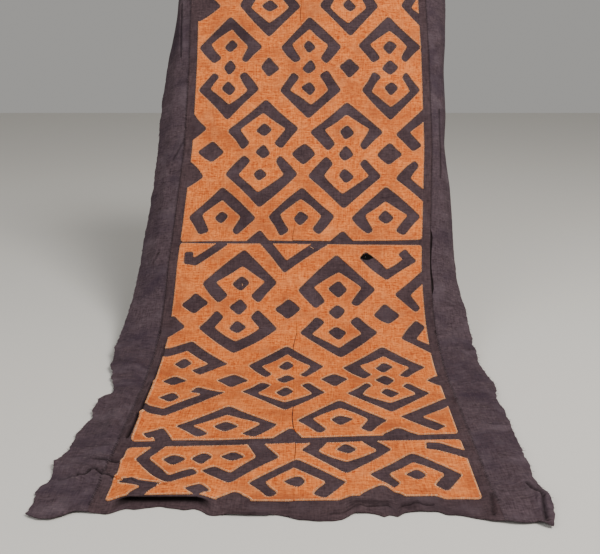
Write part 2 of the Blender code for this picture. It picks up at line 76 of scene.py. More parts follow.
# The flat cloth, in metres: across from the middle, along from the bottom hem
cloth = {
    "length": 1.71,
    "fieldHalf": 0.292,
    "panelHalf": 0.290,
    "seamAcross": 0.311,
    "gap": 0.0003,
    "groundThick": 0.0015,
    "panelThick": 0.0011,
    "pastHem": -0.030,      # rows of points start here, beyond the hem's farthest reach
    "topMargin": 0.002,     # and stop this far below the top edge
    "hemMargin": 0.0015,    # and keep this clear of the hem
    "curlStart": 0.030,
    "leastBend": 0.001,     # of a border's curl, so that a flat one needs no case of its own
    "sideStep": 0.001,
    "curlEase": 0.020,      # how softly the curl of a border changes along the cloth
}

profile = table(
    "along slope drift",
    (0.00, 0.0, -0.030),
    (0.46, 0.0, -0.027),
    (0.56, 5.0, -0.027),
    (0.66, 18.0, -0.026),
    (0.76, 36.0, -0.025),
    (0.88, 50.0, -0.023),
    (1.00, 53.0, -0.014),
    (1.20, 55.0, 0.000),
    (1.45, 57.0, 0.003),
    (1.71, 57.5, 0.000),
)
leftBorder = table(
    "along width curl",
    (0.000, 0.113, 0),
    (0.030, 0.107, 0),
    (0.070, 0.112, 0),
    (0.100, 0.104, 0),
    (0.155, 0.108, 0),
    (0.200, 0.098, 0),
    (0.264, 0.098, 0),
    (0.330, 0.089, 0),
    (0.390, 0.089, 0),
    (0.430, 0.070, 0),
    (0.545, 0.099, 0),
    (0.635, 0.109, 4),
    (0.710, 0.106, 12),
    (0.804, 0.105, 28),
    (0.880, 0.105, 44),
    (1.082, 0.105, 50),
    (1.220, 0.104, 48),
    (1.347, 0.105, 54),
    (1.484, 0.105, 70),
    (1.600, 0.105, 96),
    (1.710, 0.105, 108),
)
rightBorder = table(
    "along width curl",
    (-0.030, 0.083, 0),
    (0.000, 0.095, 0),
    (0.040, 0.102, 0),
    (0.115, 0.094, 0),
    (0.157, 0.095, 0),
    (0.235, 0.096, 0),
    (0.305, 0.101, 0),
    (0.405, 0.098, 0),
    (0.490, 0.107, 0),
    (0.575, 0.097, 2),
    (0.650, 0.099, 6),
    (0.715, 0.102, 18),
    (0.770, 0.103, 28),
    (0.849, 0.103, 52),
    (0.952, 0.103, 64),
    (1.120, 0.102, 78),
    (1.220, 0.103, 104),
    (1.310, 0.102, 88),
    (1.446, 0.103, 90),
    (1.535, 0.102, 76),
    (1.710, 0.103, 62),
)

# The hem: how far its edge is set in from a straight line, where it is tucked under,
# and the way a full tuck heads, in degrees below level, going down to the hem
hem = table(
    "across inset",
    (-0.410, 0.012),
    (-0.385, -0.003),
    (-0.363, -0.006),
    (-0.330, 0.015),
    (-0.295, 0.013),
    (-0.260, -0.002),
    (-0.242, -0.005),
    (-0.205, 0.003),
    (-0.166, -0.006),
    (-0.130, 0.000),
    (-0.112, 0.009),
    (-0.070, 0.006),
    (-0.025, 0.009),
    (0.010, -0.005),
    (0.055, -0.008),
    (0.090, 0.000),
    (0.118, 0.001),
    (0.136, -0.008),
    (0.160, 0.005),
    (0.190, 0.009),
    (0.243, 0.008),
    (0.262, 0.003),
    (0.296, -0.010),
    (0.332, -0.016),
    (0.360, -0.014),
    (0.374, -0.025),
    (0.400, -0.027),
)
tucks = table(
    "centre reach turn",
    (-0.202, 0.098, 0.92),
    (0.116, 0.050, 0.55),
    (0.192, 0.046, 0.45),
)
tuckPath = table(
    "along heading",
    (0.000, 0),
    (0.015, 4),
    (0.021, 75),
    (0.027, 125),
    (0.034, 142),
    (0.041, 70),
    (0.048, 0),
    (0.062, -13),
    (0.105, -13),
    (0.130, 0),
)

# Soft ridges that the solids have too
ridges = table(
    "across along endAcross endAlong height reach",
    (-0.405, 0.155, -0.320, 0.130, 0.0060, 0.016),
    (-0.400, 0.215, -0.330, 0.205, 0.0040, 0.018),
    (-0.345, 0.440, -0.330, 0.255, 0.0070, 0.016),
    (-0.390, 0.640, -0.350, 0.560, 0.0080, 0.026),
    (-0.400, 0.340, -0.370, 0.400, 0.0050, 0.020),
    (0.350, 0.600, 0.380, 0.420, 0.0050, 0.022),
    (0.340, 0.320, 0.365, 0.090, 0.0040, 0.018),
    (0.330, 0.030, 0.400, 0.060, 0.0050, 0.018),
    (-0.352, 1.640, -0.350, 0.900, 0.0030, 0.012),
    (0.352, 1.560, 0.350, 1.050, 0.0035, 0.010),
)

# Creases of the finished cloth: a groove of this reach between two soft lips
mainCreases = [
    # across, along, end across, end along, height, reach
    (-0.378, 0.103, -0.352, 0.106, 0.0040, 0.0036),
    (-0.352, 0.106, -0.326, 0.120, 0.0085, 0.0034),
    (-0.326, 0.120, -0.300, 0.110, 0.0085, 0.0034),
    (-0.300, 0.110, -0.262, 0.092, 0.0070, 0.0032),
    (-0.262, 0.092, -0.203, 0.070, 0.0060, 0.0032),
    (-0.335, 0.168, -0.296, 0.157, 0.0100, 0.0048),
    (-0.2935, 0.650, -0.2935, 0.480, 0.0045, 0.0030),
    (-0.2935, 0.480, -0.2945, 0.330, 0.0085, 0.0032),
    (-0.2945, 0.330, -0.2975, 0.245, 0.0105, 0.0034),
    (-0.367, 0.438, -0.384, 0.400, 0.0060, 0.0050),
    (0.366, 0.085, 0.382, 0.045, 0.0070, 0.0040),
    (0.382, 0.045, 0.372, -0.014, 0.0070, 0.0042),
    (0.306, 0.062, 0.298, 0.004, 0.0055, 0.0040),
    (0.055, 0.007, 0.098, 0.012, 0.0065, 0.0028),
    (0.098, 0.012, 0.142, 0.016, 0.0075, 0.0028),
    (0.164, 0.019, 0.186, 0.021, 0.0070, 0.0028),
    (0.186, 0.021, 0.210, 0.020, 0.0070, 0.0028),
    (-0.100, 0.012, -0.040, 0.009, 0.0045, 0.0028),
    (0.337, 1.310, 0.337, 1.118, 0.0050, 0.0034),
    (-0.342, 1.620, -0.336, 1.460, 0.0055, 0.0036),
    (-0.313, 1.215, -0.336, 1.165, 0.0045, 0.0036),
    (-0.352, 0.890, -0.340, 0.915, 0.0040, 0.0034),
]
smallCreases = {
    "count": 30, "height": 0.0026, "reach": 0.0030, "lips": 2.6,
    # a crease this high gets the full painted shade in its groove, which spreads over this share of its reach
    "paintedShadeDepth": 0.0090, "paintedShadeReach": 0.80,
    "step": 0.0045, "offsets": (-2.6, -1.7, -1.1, -0.5, 0, 0.5, 1.1, 1.7, 2.6),
    "clearOfEdge": 0.0022,
}


def scatteredCreases():
    # faint creases that run across the side borders, each at its own slant
    hand = random.Random(3)
    rows = []
    for index in range(smallCreases["count"]):
        way = -1 if index % 2 else 1
        across = way * hand.uniform(0.315, 0.350)
        along = hand.uniform(0.02, 1.65)
        length = hand.uniform(0.025, 0.060)
        slant = hand.uniform(-0.5, 0.5)
        height = smallCreases["height"] * hand.uniform(0.4, 1.0)
        rows.append((across, along, across + way * length, along + slant * length, height,
                     smallCreases["reach"] * hand.uniform(0.8, 1.6)))
    return rows


creases = table("across along endAcross endAlong height reach", *mainCreases, *scatteredCreases())


def creasePoints():
    # points that give every crease enough triangles
    points = []
    for x, y, endX, endY, _, reach in zip(*creases.values()):
        run = np.array([endX - x, endY - y])
        length = np.linalg.norm(run)
        side = np.array([-run[1], run[0]]) / length * reach
        shares = np.linspace(0, 1, max(2, round(length / smallCreases["step"]) + 1))[:, None]
        for offset in smallCreases["offsets"]:
            points.append((x, y) + run * shares + side * offset)
    return np.concatenate(points)


def smoothed(values, name, reach):
    # the same column with its corners eased
    spacing = 0.005
    places = np.arange(0, cloth["length"] + spacing, spacing)
    half = round(3 * reach / spacing)
    kernel = np.exp(-(np.arange(-half, half + 1) * spacing / reach) ** 2)
    raw = np.pad(read(values, places, name), half, mode="edge")
    return {"along": places, name: np.convolve(raw, kernel / kernel.sum(), "valid")}


def softStep(share):
    share = np.clip(share, 0, 1)
    return share * share * (3 - 2 * share)


def between(values, i, j, a, b):
    # a value between four neighbours in a grid, by the shares of the way to the next ones
    low = values[i, j] * (1 - a) + values[i + 1, j] * a
    high = values[i, j + 1] * (1 - a) + values[i + 1, j + 1] * a
    return low * (1 - b) + high * b


def softNoise(across, along, size, seed):
    # smooth noise from -1 to 1, with about one hump to each size of cloth, and with
    # its lattice shifted off the middle line and the hem
    count = 64
    shiftAcross, shiftAlong = 7.3, 3.1
    values = np.pad(np.random.default_rng(seed).uniform(-1, 1, (count, count)), (0, 1), mode="wrap")
    x, y = np.asarray(across) / size + shiftAcross, np.asarray(along) / size + shiftAlong
    column, line = np.floor(x).astype(int), np.floor(y).astype(int)
    return between(values, column % count, line % count, softStep(x - column), softStep(y - line))


leftCurl = smoothed(leftBorder, "curl", cloth["curlEase"])
rightCurl = smoothed(rightBorder, "curl", cloth["curlEase"])
drift = smoothed(profile, "drift", cloth["curlEase"])

# Side view: the middle line in small steps from the hem, ending at the origin
stepPlaces = np.arange(round(cloth["length"] / cloth["sideStep"]) + 1) * cloth["sideStep"]
stepSlopes = np.radians(read(profile, stepPlaces[:-1] + cloth["sideStep"] / 2, "slope"))
sideY = np.concatenate([[0], np.cumsum(np.cos(stepSlopes))]) * cloth["sideStep"]
sideZ = np.concatenate([[0], np.cumsum(np.sin(stepSlopes))]) * cloth["sideStep"]
sideView = {"along": stepPlaces, "y": sideY - sideY[-1], "z": sideZ - sideZ[-1]}


def tuckShapes(fullness):
    # what each fullness of tuck adds to y and z, going down to the hem
    start = tuckPath["along"][-1]
    count = round(start / cloth["sideStep"])
    places = start - (np.arange(count) + 0.5) * cloth["sideStep"]
    headings = np.radians(read(tuckPath, places, "heading"))
    shapes = []
    for turn in fullness:
        forward = np.concatenate([[0], np.cumsum(np.cos(turn * headings))]) * cloth["sideStep"]
        height = -np.concatenate([[0], np.cumsum(np.sin(turn * headings))]) * cloth["sideStep"]
        crest = height.argmax()
        if crest:
            beyond = height[crest:]
            height[crest:] = height[crest] * (beyond - beyond[-1]) / (height[crest] - beyond[-1])
        shapes.append((np.arange(count + 1) * cloth["sideStep"] - forward, height))
    return np.array(shapes)


tuckFullness = np.linspace(0, 1, 41)
tuckLattice = tuckShapes(tuckFullness)


def tuckTurn(across):
    # how fully the hem is tucked, from 0 to 1
    turn = np.zeros_like(across)
    for centre, reach, full in zip(*tucks.values()):
        turn = np.maximum(turn, full * softStep(2 - 2 * np.abs(across - centre) / reach))
    return turn


def tuckShift(across, along):
    # what the tuck adds to y and z at each point
    row = np.clip(tuckTurn(across), 0, 1) * (len(tuckFullness) - 1)
    column = np.clip((tuckPath["along"][-1] - along) / cloth["sideStep"], 0, tuckLattice.shape[2] - 1)
    i = np.minimum(row.astype(int), len(tuckFullness) - 2)
    j = np.minimum(column.astype(int), tuckLattice.shape[2] - 2)
    return [between(tuckLattice[:, axis], i, j, row - i, column - j) for axis in (0, 1)]


def foldDistances(folds, across, along):
    # each fold's height and reach, and how far the points lie from its line
    for x, y, endX, endY, rise, reach in zip(*folds.values()):
        runX, runY = endX - x, endY - y
        share = np.clip(((across - x) * runX + (along - y) * runY) / (runX ** 2 + runY ** 2), 0, 1)
        yield rise, reach, np.hypot(across - x - runX * share, along - y - runY * share)


def foldHeight(folds, across, along, lips=None):
    # soft ridges along lines or, with lips, grooves between two lips
    height = np.zeros_like(across)
    for rise, reach, distance in foldDistances(folds, across, along):
        ridge = np.exp(-(distance / reach) ** 2)
        if lips:
            height += rise * (np.exp(-(distance / reach / lips) ** 2) - ridge)
        else:
            height += rise * ridge
    return height


def paintedCreaseShade(across, along):
    # from 0 to 1, how much painted shade darkens a crease's groove
    paintedShade = np.zeros_like(across)
    for rise, reach, distance in foldDistances(creases, across, along):
        deep = min(1.0, rise / smallCreases["paintedShadeDepth"])
        paintedShade = np.maximum(paintedShade, deep * np.exp(-(distance / reach / smallCreases["paintedShadeReach"]) ** 2))
    return paintedShade


# Unevenness, always upward because the lower part lies on a floor, and more in the borders
rumple = {
    "field": 0.0012, "border": 0.0034, "size": 0.055,
    "fineField": 0.0004, "fineBorder": 0.0010, "fineSize": 0.017,
    "broadBorder": 0.0030, "broadSize": 0.120,
}


def rumpleHeight(across, along):
    def upward(size, seed):
        return 0.5 + 0.5 * softNoise(across, along, size, seed)

    border = softStep((np.abs(across) - cloth["fieldHalf"]) / cloth["curlStart"])
    middle = rumple["field"] + (rumple["border"] - rumple["field"]) * border
    fine = rumple["fineField"] + (rumple["fineBorder"] - rumple["fineField"]) * border
    height = middle * upward(rumple["size"], 1)
    height += fine * upward(rumple["fineSize"], 2)
    height += rumple["broadBorder"] * border * upward(rumple["broadSize"], 4)
    return height


def drapePoints(across, along):
    # draped place of each point of the flat cloth's upper face
    slope = np.radians(read(profile, along, "slope"))
    beyond = np.maximum(np.abs(across) - cloth["fieldHalf"], 0)
    left = across < 0
    curl = np.radians(np.where(left, read(leftCurl, along, "curl"), read(rightCurl, along, "curl")))
    width = np.where(left, read(leftBorder, along, "width"), read(rightBorder, along, "width"))
    bend = np.maximum(curl / width, cloth["leastBend"])
    x = np.sign(across) * (np.minimum(np.abs(across), cloth["fieldHalf"]) + np.sin(bend * beyond) / bend)
    rise = -(1 - np.cos(bend * beyond)) / bend
    rise += foldHeight(ridges, across, along) * softStep(beyond / cloth["curlStart"])
    rise += foldHeight(creases, across, along, smallCreases["lips"]) + rumpleHeight(across, along)
    shiftY, shiftZ = tuckShift(across, along)
    pastHem = np.minimum(along, 0)    # where the hem wanders out, it goes on over the floor
    y = read(sideView, along, "y") + pastHem - rise * np.sin(slope) + shiftY
    z = read(sideView, along, "z") + rise * np.cos(slope) + shiftZ
    return np.stack([x + read(drift, along, "drift"), y, z], axis=-1)


def place(across, along, lift):
    # draped place at a height over the cloth's upper face
    reach = 0.0008      # to either side of a point, to find which way the cloth faces there
    sideways = drapePoints(across + reach, along) - drapePoints(across - reach, along)
    onward = drapePoints(across, along + reach) - drapePoints(across, along - reach)
    normal = np.cross(sideways, onward)
    normal /= np.linalg.norm(normal, axis=-1, keepdims=True)
    return drapePoints(across, along) + normal * np.asarray(lift)[..., None]


# Hand cut outlines
outlineLook = {
    "step": 0.0035,         # spacing of an outline's points
    "cornerSteps": 4,
    "mostOfSide": 0.42,     # a rounded corner takes no more of a side than this
    "bow": 0.0011,          # how far a cut strays from straight between its corners
    "bowLength": 0.045,     # a shorter cut strays less
    "tremble": 0.00025,
}
rough = random.Random(11)


def cornerArc(before, here, after, cutBefore, cutAfter, steps):
    # points of a soft corner, from the side before it to the side after it
    start = here + (before - here).normalized() * cutBefore
    end = here + (after - here).normalized() * cutAfter
    return [start * (1 - share) ** 2 + here * 2 * share * (1 - share) + end * share ** 2
            for share in np.linspace(0, 1, steps + 1)]


def rounded(corners, radius, bow=outlineLook["bow"]):
    # a closed outline with soft corners and slightly bowed sides, as points close together
    points = [Vector(corner) for corner in corners]
    parts = []
    for before, here, after in zip(points[-1:] + points[:-1], points, points[1:] + points[:1]):
        cutBefore = min(radius, (before - here).length * outlineLook["mostOfSide"])
        cutAfter = min(radius, (after - here).length * outlineLook["mostOfSide"])
        parts.append(cornerArc(before, here, after, cutBefore, cutAfter, outlineLook["cornerSteps"]))
    outline = []
    for arc, following in zip(parts, parts[1:] + parts[:1]):
        outline += arc
        run = following[0] - arc[-1]
        count = max(1, round(run.length / outlineLook["step"]))
        side = Vector((-run.y, run.x)).normalized() * rough.uniform(-bow, bow)
        side *= min(1, run.length / outlineLook["bowLength"])
        for index in range(1, count):
            share = index / count
            tremble = Vector((rough.uniform(-1, 1), rough.uniform(-1, 1))) * outlineLook["tremble"]
            outline.append(arc[-1] + run * share + side * math.sin(math.pi * share) + tremble)
    return np.array([tuple(point) for point in outline])


def anticlockwise(outline):
    following = np.roll(outline, -1, axis=0)
    area = (outline[:, 0] * following[:, 1] - following[:, 0] * outline[:, 1]).sum()
    return outline if area > 0 else outline[::-1]


def offsetPoints(outline, distance):
    # points beside a closed outline, outside it where the distance is above zero
    outline = anticlockwise(outline)
    run = np.roll(outline, -1, axis=0) - np.roll(outline, 1, axis=0)
    normal = np.stack([run[:, 1], -run[:, 0]], axis=1) / np.linalg.norm(run, axis=1, keepdims=True)
    return outline + normal * distance


def triangulate(outline, holes, free):
    # triangles of the flat region inside the outline and outside every hole
    points = [anticlockwise(ring) for ring in [outline] + holes] + [free]
    faces = []
    count = 0
    for ring in points[:-1]:
        faces.append(list(range(count, count + len(ring))))
        count += len(ring)
    flat = [Vector(point) for point in np.concatenate(points)]
    places, _, triangles, _, _, origins = delaunay_2d_cdt(flat, [], faces, 0, 1e-6)
    kept = np.array([triangle for triangle, origin in zip(triangles, origins) if list(origin) == [0]])
    used, compact = np.unique(kept, return_inverse=True)
    return np.array([tuple(point) for point in places])[used], compact.reshape(-1, 3)


def looseParts(triangles, count):
    # the number of the separate part that each triangle belongs to
    parent = np.arange(count)
    while True:
        lowest = parent[triangles].min(axis=1)
        grown = parent.copy()
        for corner in range(3):
            np.minimum.at(grown, triangles[:, corner], lowest)
        grown = grown[grown]
        if (grown == parent).all():
            return parent[triangles[:, 0]]
        parent = grown


def edgeLoops(triangles):
    # closed chains of points round a region, with the region on their left
    sides = np.concatenate([triangles[:, [0, 1]], triangles[:, [1, 2]], triangles[:, [2, 0]]])
    present = set(map(tuple, sides.tolist()))
    following = {}
    for a, b in present:
        if (b, a) not in present:
            following.setdefault(a, []).append(b)
    loops = []
    while following:
        start = min(following)
        loop = [start]
        here = start
        while True:
            onward = following[here].pop()
            if not following[here]:
                del following[here]
            if onward == start or onward not in following:
                break
            loop.append(onward)
            here = onward
        loops.append(np.array(loop))
    return loops


def nearest(points, edges):
    # distance of each point from the nearest edge point
    tree = kdtree.KDTree(len(edges))
    for index, (x, y) in enumerate(edges):
        tree.insert((x, y, 0), index)
    tree.balance()
    return np.array([tree.find((x, y, 0))[2] for x, y in points])


def distanceToEdges(flat, loops, isPlain):
    # distance of each point from the worked edges, which leave out the plain ones
    rim = np.concatenate(loops)
    if isPlain:
        rim = rim[~isPlain(flat[rim])]
    return nearest(flat, flat[rim])


def clearOf(points, edges, distance):
    # the points that are farther than this from every edge point
    return points[nearest(points, edges) > distance]


def meshPiece(name, points, faces, material, attributes):
    mesh = bpy.data.meshes.new(name)
    mesh.from_pydata(points.tolist(), [], faces)
    for key, values in attributes.items():
        kind, field = ("FLOAT_VECTOR", "vector") if values.ndim == 2 else ("FLOAT", "value")
        made = mesh.attributes.new(key, kind, "POINT")
        made.data.foreach_set(field, values.astype(np.float32).ravel())
    mesh.materials.append(material)
    mesh.shade_smooth()
    mesh.set_sharp_from_angle(angle=math.radians(60))
    piece = bpy.data.objects.new(name, mesh)
    bpy.context.scene.collection.objects.link(piece)
    return piece


def flatArea(flat, triangles):
    a, b, c = (flat[triangles[:, corner]] for corner in range(3))
    doubled = (b[:, 0] - a[:, 0]) * (c[:, 1] - a[:, 1]) - (b[:, 1] - a[:, 1]) * (c[:, 0] - a[:, 0])
    return abs(doubled.sum()) / 2


def clothPiece(name, flat, triangles, top, bottom, material, isPlain=None, shade=None):
    # a closed sheet over a flat region, from its lower to its upper lift
    loops = edgeLoops(triangles)
    fromEdge = distanceToEdges(flat, loops, isPlain)
    upper = place(flat[:, 0], flat[:, 1], top(flat, fromEdge))
    lower = place(flat[:, 0], flat[:, 1], bottom(flat, fromEdge))
    count = len(flat)
    faces = triangles.tolist() + (triangles[:, ::-1] + count).tolist()
    for loop in loops:
        for a, b in zip(loop.tolist(), np.roll(loop, -1).tolist()):
            faces.append((a + count, b + count, b, a))
    flatPlace = np.column_stack([flat, np.zeros(count)])
    # painted shade on the upper face: in the creases, and any painted shade that the piece brings
    paintedShade = paintedCreaseShade(flat[:, 0], flat[:, 1])
    if shade:
        paintedShade = np.maximum(paintedShade, shade(flat))
    attributes = {
        "flatPlace": np.concatenate([flatPlace, flatPlace]),
        "fromEdge": np.concatenate([fromEdge, fromEdge]),
        "paintedShade": np.concatenate([paintedShade, paintedShade * 0]),
    }
    return meshPiece(name, np.concatenate([upper, lower]), faces, material, attributes), loops


def declare(piece, nodes):
    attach(piece, "root")
    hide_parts(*nodes)


def gridPoints(columns, lines):
    across, along = np.meshgrid(columns, lines)
    return np.column_stack([across.ravel(), along.ravel()])


def crossLines(low, high, step):
    # places along the cloth, close together where the hem is tucked
    fine = [(cloth["pastHem"], 0.060, 0.0022), (0.060, 0.140, 0.0040), (0.140, cloth["length"], step)]
    lines = []
    for start, end, spacing in fine:
        count = max(1, round((end - start) / spacing))
        lines += list(np.linspace(start, end, count, endpoint=False))
    return np.array([line for line in lines if low < line < high])


def addNode(tree, kind, links=None, out=0, **settings):
    # adds a node with its settings and links, and gives one of its outputs
    made = tree.nodes.new("ShaderNode" + kind)
    for name, value in settings.items():
        setattr(made, name, value)
    for socket, source in (links or {}).items():
        if isinstance(source, bpy.types.NodeSocket):
            tree.links.new(source, made.inputs[socket])
        else:
            made.inputs[socket].default_value = source
    return made.outputs[out]


# nearly black painted shade for creases, the seam's turning and the hem's tuck; then the char round a burn
paintedShadeColour = "#120c0d"
charColour = "#060404"


# Raffia: stripped palm leaf, dyed and plain woven by hand. It is matt and dry, its
# threads are uneven in width and take the dye unevenly, so the cloth looks streaky
# along both threads. The real thread is 1.1 mm, which is finer than a pixel of the
# render, so the streaks are drawn two or three threads wide.
def wovenRaffia(name, look):
    material = bpy.data.materials.new(name)
    material.use_nodes = True
    tree = material.node_tree
    shader = tree.nodes["Principled BSDF"]
    flat = addNode(tree, "Attribute", out="Vector", attribute_name="flatPlace")

    def streaks(width, run, detail, seed):
        size = addNode(tree, "VectorMath", {0: flat, 1: (1 / width, 1 / run, 1.0)}, operation="MULTIPLY")
        moved = addNode(tree, "VectorMath", {0: size, 1: (seed, seed * 0.7, seed * 1.3)}, operation="ADD")
        return addNode(tree, "TexNoise", {"Vector": moved, "Scale": 1.0, "Detail": detail, "Roughness": 0.6})

    warp = streaks(look["streak"], look["run"], 3.0, 3.0)
    weft = streaks(look["run"], look["streak"] * 0.85, 3.0, 11.0)
    slub = streaks(look["streak"] * 3, look["streak"] * 1.4, 2.0, 29.0)
    both = addNode(tree, "Math", {0: warp, 1: weft}, operation="ADD")
    threads = addNode(tree, "Math", {0: both, 1: slub}, operation="ADD")
    tone = addNode(tree, "MapRange", {0: threads, 1: look["toneLow"], 2: look["toneHigh"]})

    # what lies over the dyed threads, each a share and a colour: dye stains, dust, specks,
    # the pale cut edge, the char round a burn and the painted shade in creases and hollows
    patterns = {
        "stain": (streaks(look["stainSize"], look["stainSize"] * 0.8, 4.0, 5.0), 0.46, 0.70),
        "dust": (streaks(look["dustSize"], look["dustSize"], 5.0, 17.0), 0.50, 0.74),
        "speck": (streaks(0.0080, 0.0026, 1.0, 41.0), 0.67, 0.76),
    }
    coats = []
    for coat, (pattern, low, high) in patterns.items():
        share = addNode(tree, "MapRange", {0: pattern, 1: low, 2: high, 4: look[coat + "Share"]})
        coats.append((share, look[coat]))
    if "edge" in look:
        away = addNode(tree, "Attribute", out="Fac", attribute_name="fromEdge")
        near = addNode(tree, "MapRange", {0: away, 2: look["edgeReach"], 3: look["edgeShare"], 4: 0.0})
        coats.append((near, look["edge"]))
    if "burn" in look:
        x, y, halfX, halfY = look["burn"]
        shifted = addNode(tree, "VectorMath", {0: flat, 1: (x, y, 0.0)}, operation="SUBTRACT")
        scale = (1 / halfX, 1 / halfY, 0.0)
        scaled = addNode(tree, "VectorMath", {0: shifted, 1: scale}, operation="MULTIPLY")
        radius = addNode(tree, "VectorMath", {0: scaled}, out="Value", operation="LENGTH")
        ragged = addNode(tree, "Math", {0: radius, 1: streaks(0.004, 0.004, 3.0, 2.0)}, operation="ADD")
        charred = addNode(tree, "MapRange", {0: ragged, 1: 1.42, 2: 1.66, 3: 1.0, 4: 0.0})
        coats.append((charred, charColour))
    # painted shade: a near-black coat where the attribute says, in place of the shadow that creases and
    # hollows hold
    paintedShade = addNode(tree, "Attribute", out="Fac", attribute_name="paintedShade")
    paintedShadeDepth = addNode(tree, "Math", {0: paintedShade, 1: look["paintedShadeShare"]}, operation="MULTIPLY")
    coats.append((paintedShadeDepth, paintedShadeColour))
    colour = linear(look["deep"])
    for share, coat in [(tone, look["bright"])] + coats:
        colour = addNode(tree, "Mix", {0: share, 6: colour, 7: linear(coat)}, out=2, data_type="RGBA")
    tree.links.new(colour, shader.inputs["Base Color"])

    # the weave itself, over and under by the real thread
    turns = math.pi / look["thread"]
    phase = addNode(tree, "VectorMath", {0: flat, 1: (turns, turns, 0.0)}, operation="MULTIPLY")
    parts = tree.nodes.new("ShaderNodeSeparateXYZ")
    tree.links.new(phase, parts.inputs[0])
    overs = [addNode(tree, "Math", {0: parts.outputs[axis]}, operation="SINE") for axis in (0, 1)]
    weave = addNode(tree, "Math", {0: overs[0], 1: overs[1]}, operation="MULTIPLY")
    weaveHeight = addNode(tree, "Math", {0: weave, 1: 0.25}, operation="MULTIPLY")
    height = addNode(tree, "Math", {0: weaveHeight, 1: threads}, operation="ADD")
    bump = addNode(tree, "Bump", {"Strength": look["bump"], "Distance": look["bumpHeight"], "Height": height})
    tree.links.new(bump, shader.inputs["Normal"])
    shader.inputs["Roughness"].default_value = look["roughness"]
    shader.inputs["Specular IOR Level"].default_value = look["gloss"]
    return material


groundRaffia = wovenRaffia("dyed black-brown raffia", {
    "thread": 0.0011, "streak": 0.0024, "run": 0.030,
    "toneLow": 1.00, "toneHigh": 2.00, "deep": "#2a1f23", "bright": "#5a484b",
    "stainSize": 0.10, "stain": "#31252a", "stainShare": 0.6,
    "dustSize": 0.06, "dust": "#62535a", "dustShare": 0.35,
    "speck": "#8a7a74", "speckShare": 0.15,
    "burn": (0.1591, 0.9030, 0.0150, 0.0082),
    "paintedShadeShare": 0.9, "bump": 0.5, "bumpHeight": 0.0006, "roughness": 0.9, "gloss": 0.12,
})
borderRaffia = wovenRaffia("dyed black-brown raffia, worn", {
    "thread": 0.0012, "streak": 0.0024, "run": 0.026,
    "toneLow": 1.00, "toneHigh": 2.00, "deep": "#2c2126", "bright": "#5f4f55",
    "stainSize": 0.085, "stain": "#352a35", "stainShare": 0.7,
    "dustSize": 0.050, "dust": "#6b5d64", "dustShare": 0.4,
    "speck": "#8f8078", "speckShare": 0.2,
    "paintedShadeShare": 0.9, "bump": 0.6, "bumpHeight": 0.0007, "roughness": 0.92, "gloss": 0.12,
})
orangeRaffia = wovenRaffia("dyed orange raffia", {
    "thread": 0.0011, "streak": 0.0024, "run": 0.030,
    "toneLow": 1.15, "toneHigh": 1.85, "deep": "#a43f13", "bright": "#ff9348",
    "stainSize": 0.10, "stain": "#a4532f", "stainShare": 0.8,
    "dustSize": 0.045, "dust": "#f79e5e", "dustShare": 0.34,
    "speck": "#6f351f", "speckShare": 0.6,
    "edge": "#eba673", "edgeReach": 0.0030, "edgeShare": 0.5,
    "paintedShadeShare": 0.75, "bump": 0.45, "bumpHeight": 0.0005, "roughness": 0.85, "gloss": 0.12,
})


# Raffia thread: undyed palm leaf strip, split narrow and twisted a little, pale and
# slightly glossy along its length. Each stitch takes its own tone.
def raffiaThread(name, low, high, roughness):
    material = bpy.data.materials.new(name)
    material.use_nodes = True
    tree = material.node_tree
    shader = tree.nodes["Principled BSDF"]
    tone = addNode(tree, "Attribute", out="Fac", attribute_name="tone")
    colour = addNode(tree, "Mix", {0: tone, 6: linear(low), 7: linear(high)}, out=2, data_type="RGBA")
    tree.links.new(colour, shader.inputs["Base Color"])
    shader.inputs["Roughness"].default_value = roughness
    shader.inputs["Specular IOR Level"].default_value = 0.2
    return material


paleThread = raffiaThread("undyed raffia thread", "#d48850", "#edbd90", 0.65)
darkThread = raffiaThread("dyed black raffia thread", "#33282c", "#584a4f", 0.8)
print("materials made")


def threadPiece(name, paths, halfWidths, tones, material):
    # many short threads in one mesh, each three-sided, over stations of across, along and lift
    count, stations, _ = paths.shape
    ridgeShare = 1.3        # a thread's height over half its width
    run = paths[:, -1, :2] - paths[:, 0, :2]
    run /= np.maximum(np.linalg.norm(run, axis=1, keepdims=True), 1e-9)
    side = np.stack([-run[:, 1], run[:, 0]], axis=1)[:, None, :] * halfWidths[..., None]
    left, right, ridge = paths.copy(), paths.copy(), paths.copy()
    left[..., :2] += side
    right[..., :2] -= side
    ridge[..., 2] += halfWidths * ridgeShare
    rings = np.stack([left, ridge, right], axis=2).reshape(-1, 3)
    points = place(rings[:, 0], rings[:, 1], rings[:, 2])
    faces = []
    for step in range(stations - 1):
        for a, b in ((0, 1), (1, 2), (2, 0)):
            faces.append((3 * step + b, 3 * step + a, 3 * step + 3 + a, 3 * step + 3 + b))
    last = 3 * (stations - 1)
    caps = [(0, 1, 2), (last + 2, last + 1, last)]
    firstPoints = np.arange(count)[:, None, None] * 3 * stations
    quads = np.array(faces)[None] + firstPoints
    ends = np.array(caps)[None] + firstPoints
    allFaces = quads.reshape(-1, 4).tolist() + ends.reshape(-1, 3).tolist()
    flatPlace = np.column_stack([rings[:, :2], np.zeros(len(rings))])
    attributes = {"flatPlace": flatPlace, "tone": np.repeat(tones, 3 * stations)}
    return meshPiece(name, points, allFaces, material, attributes)


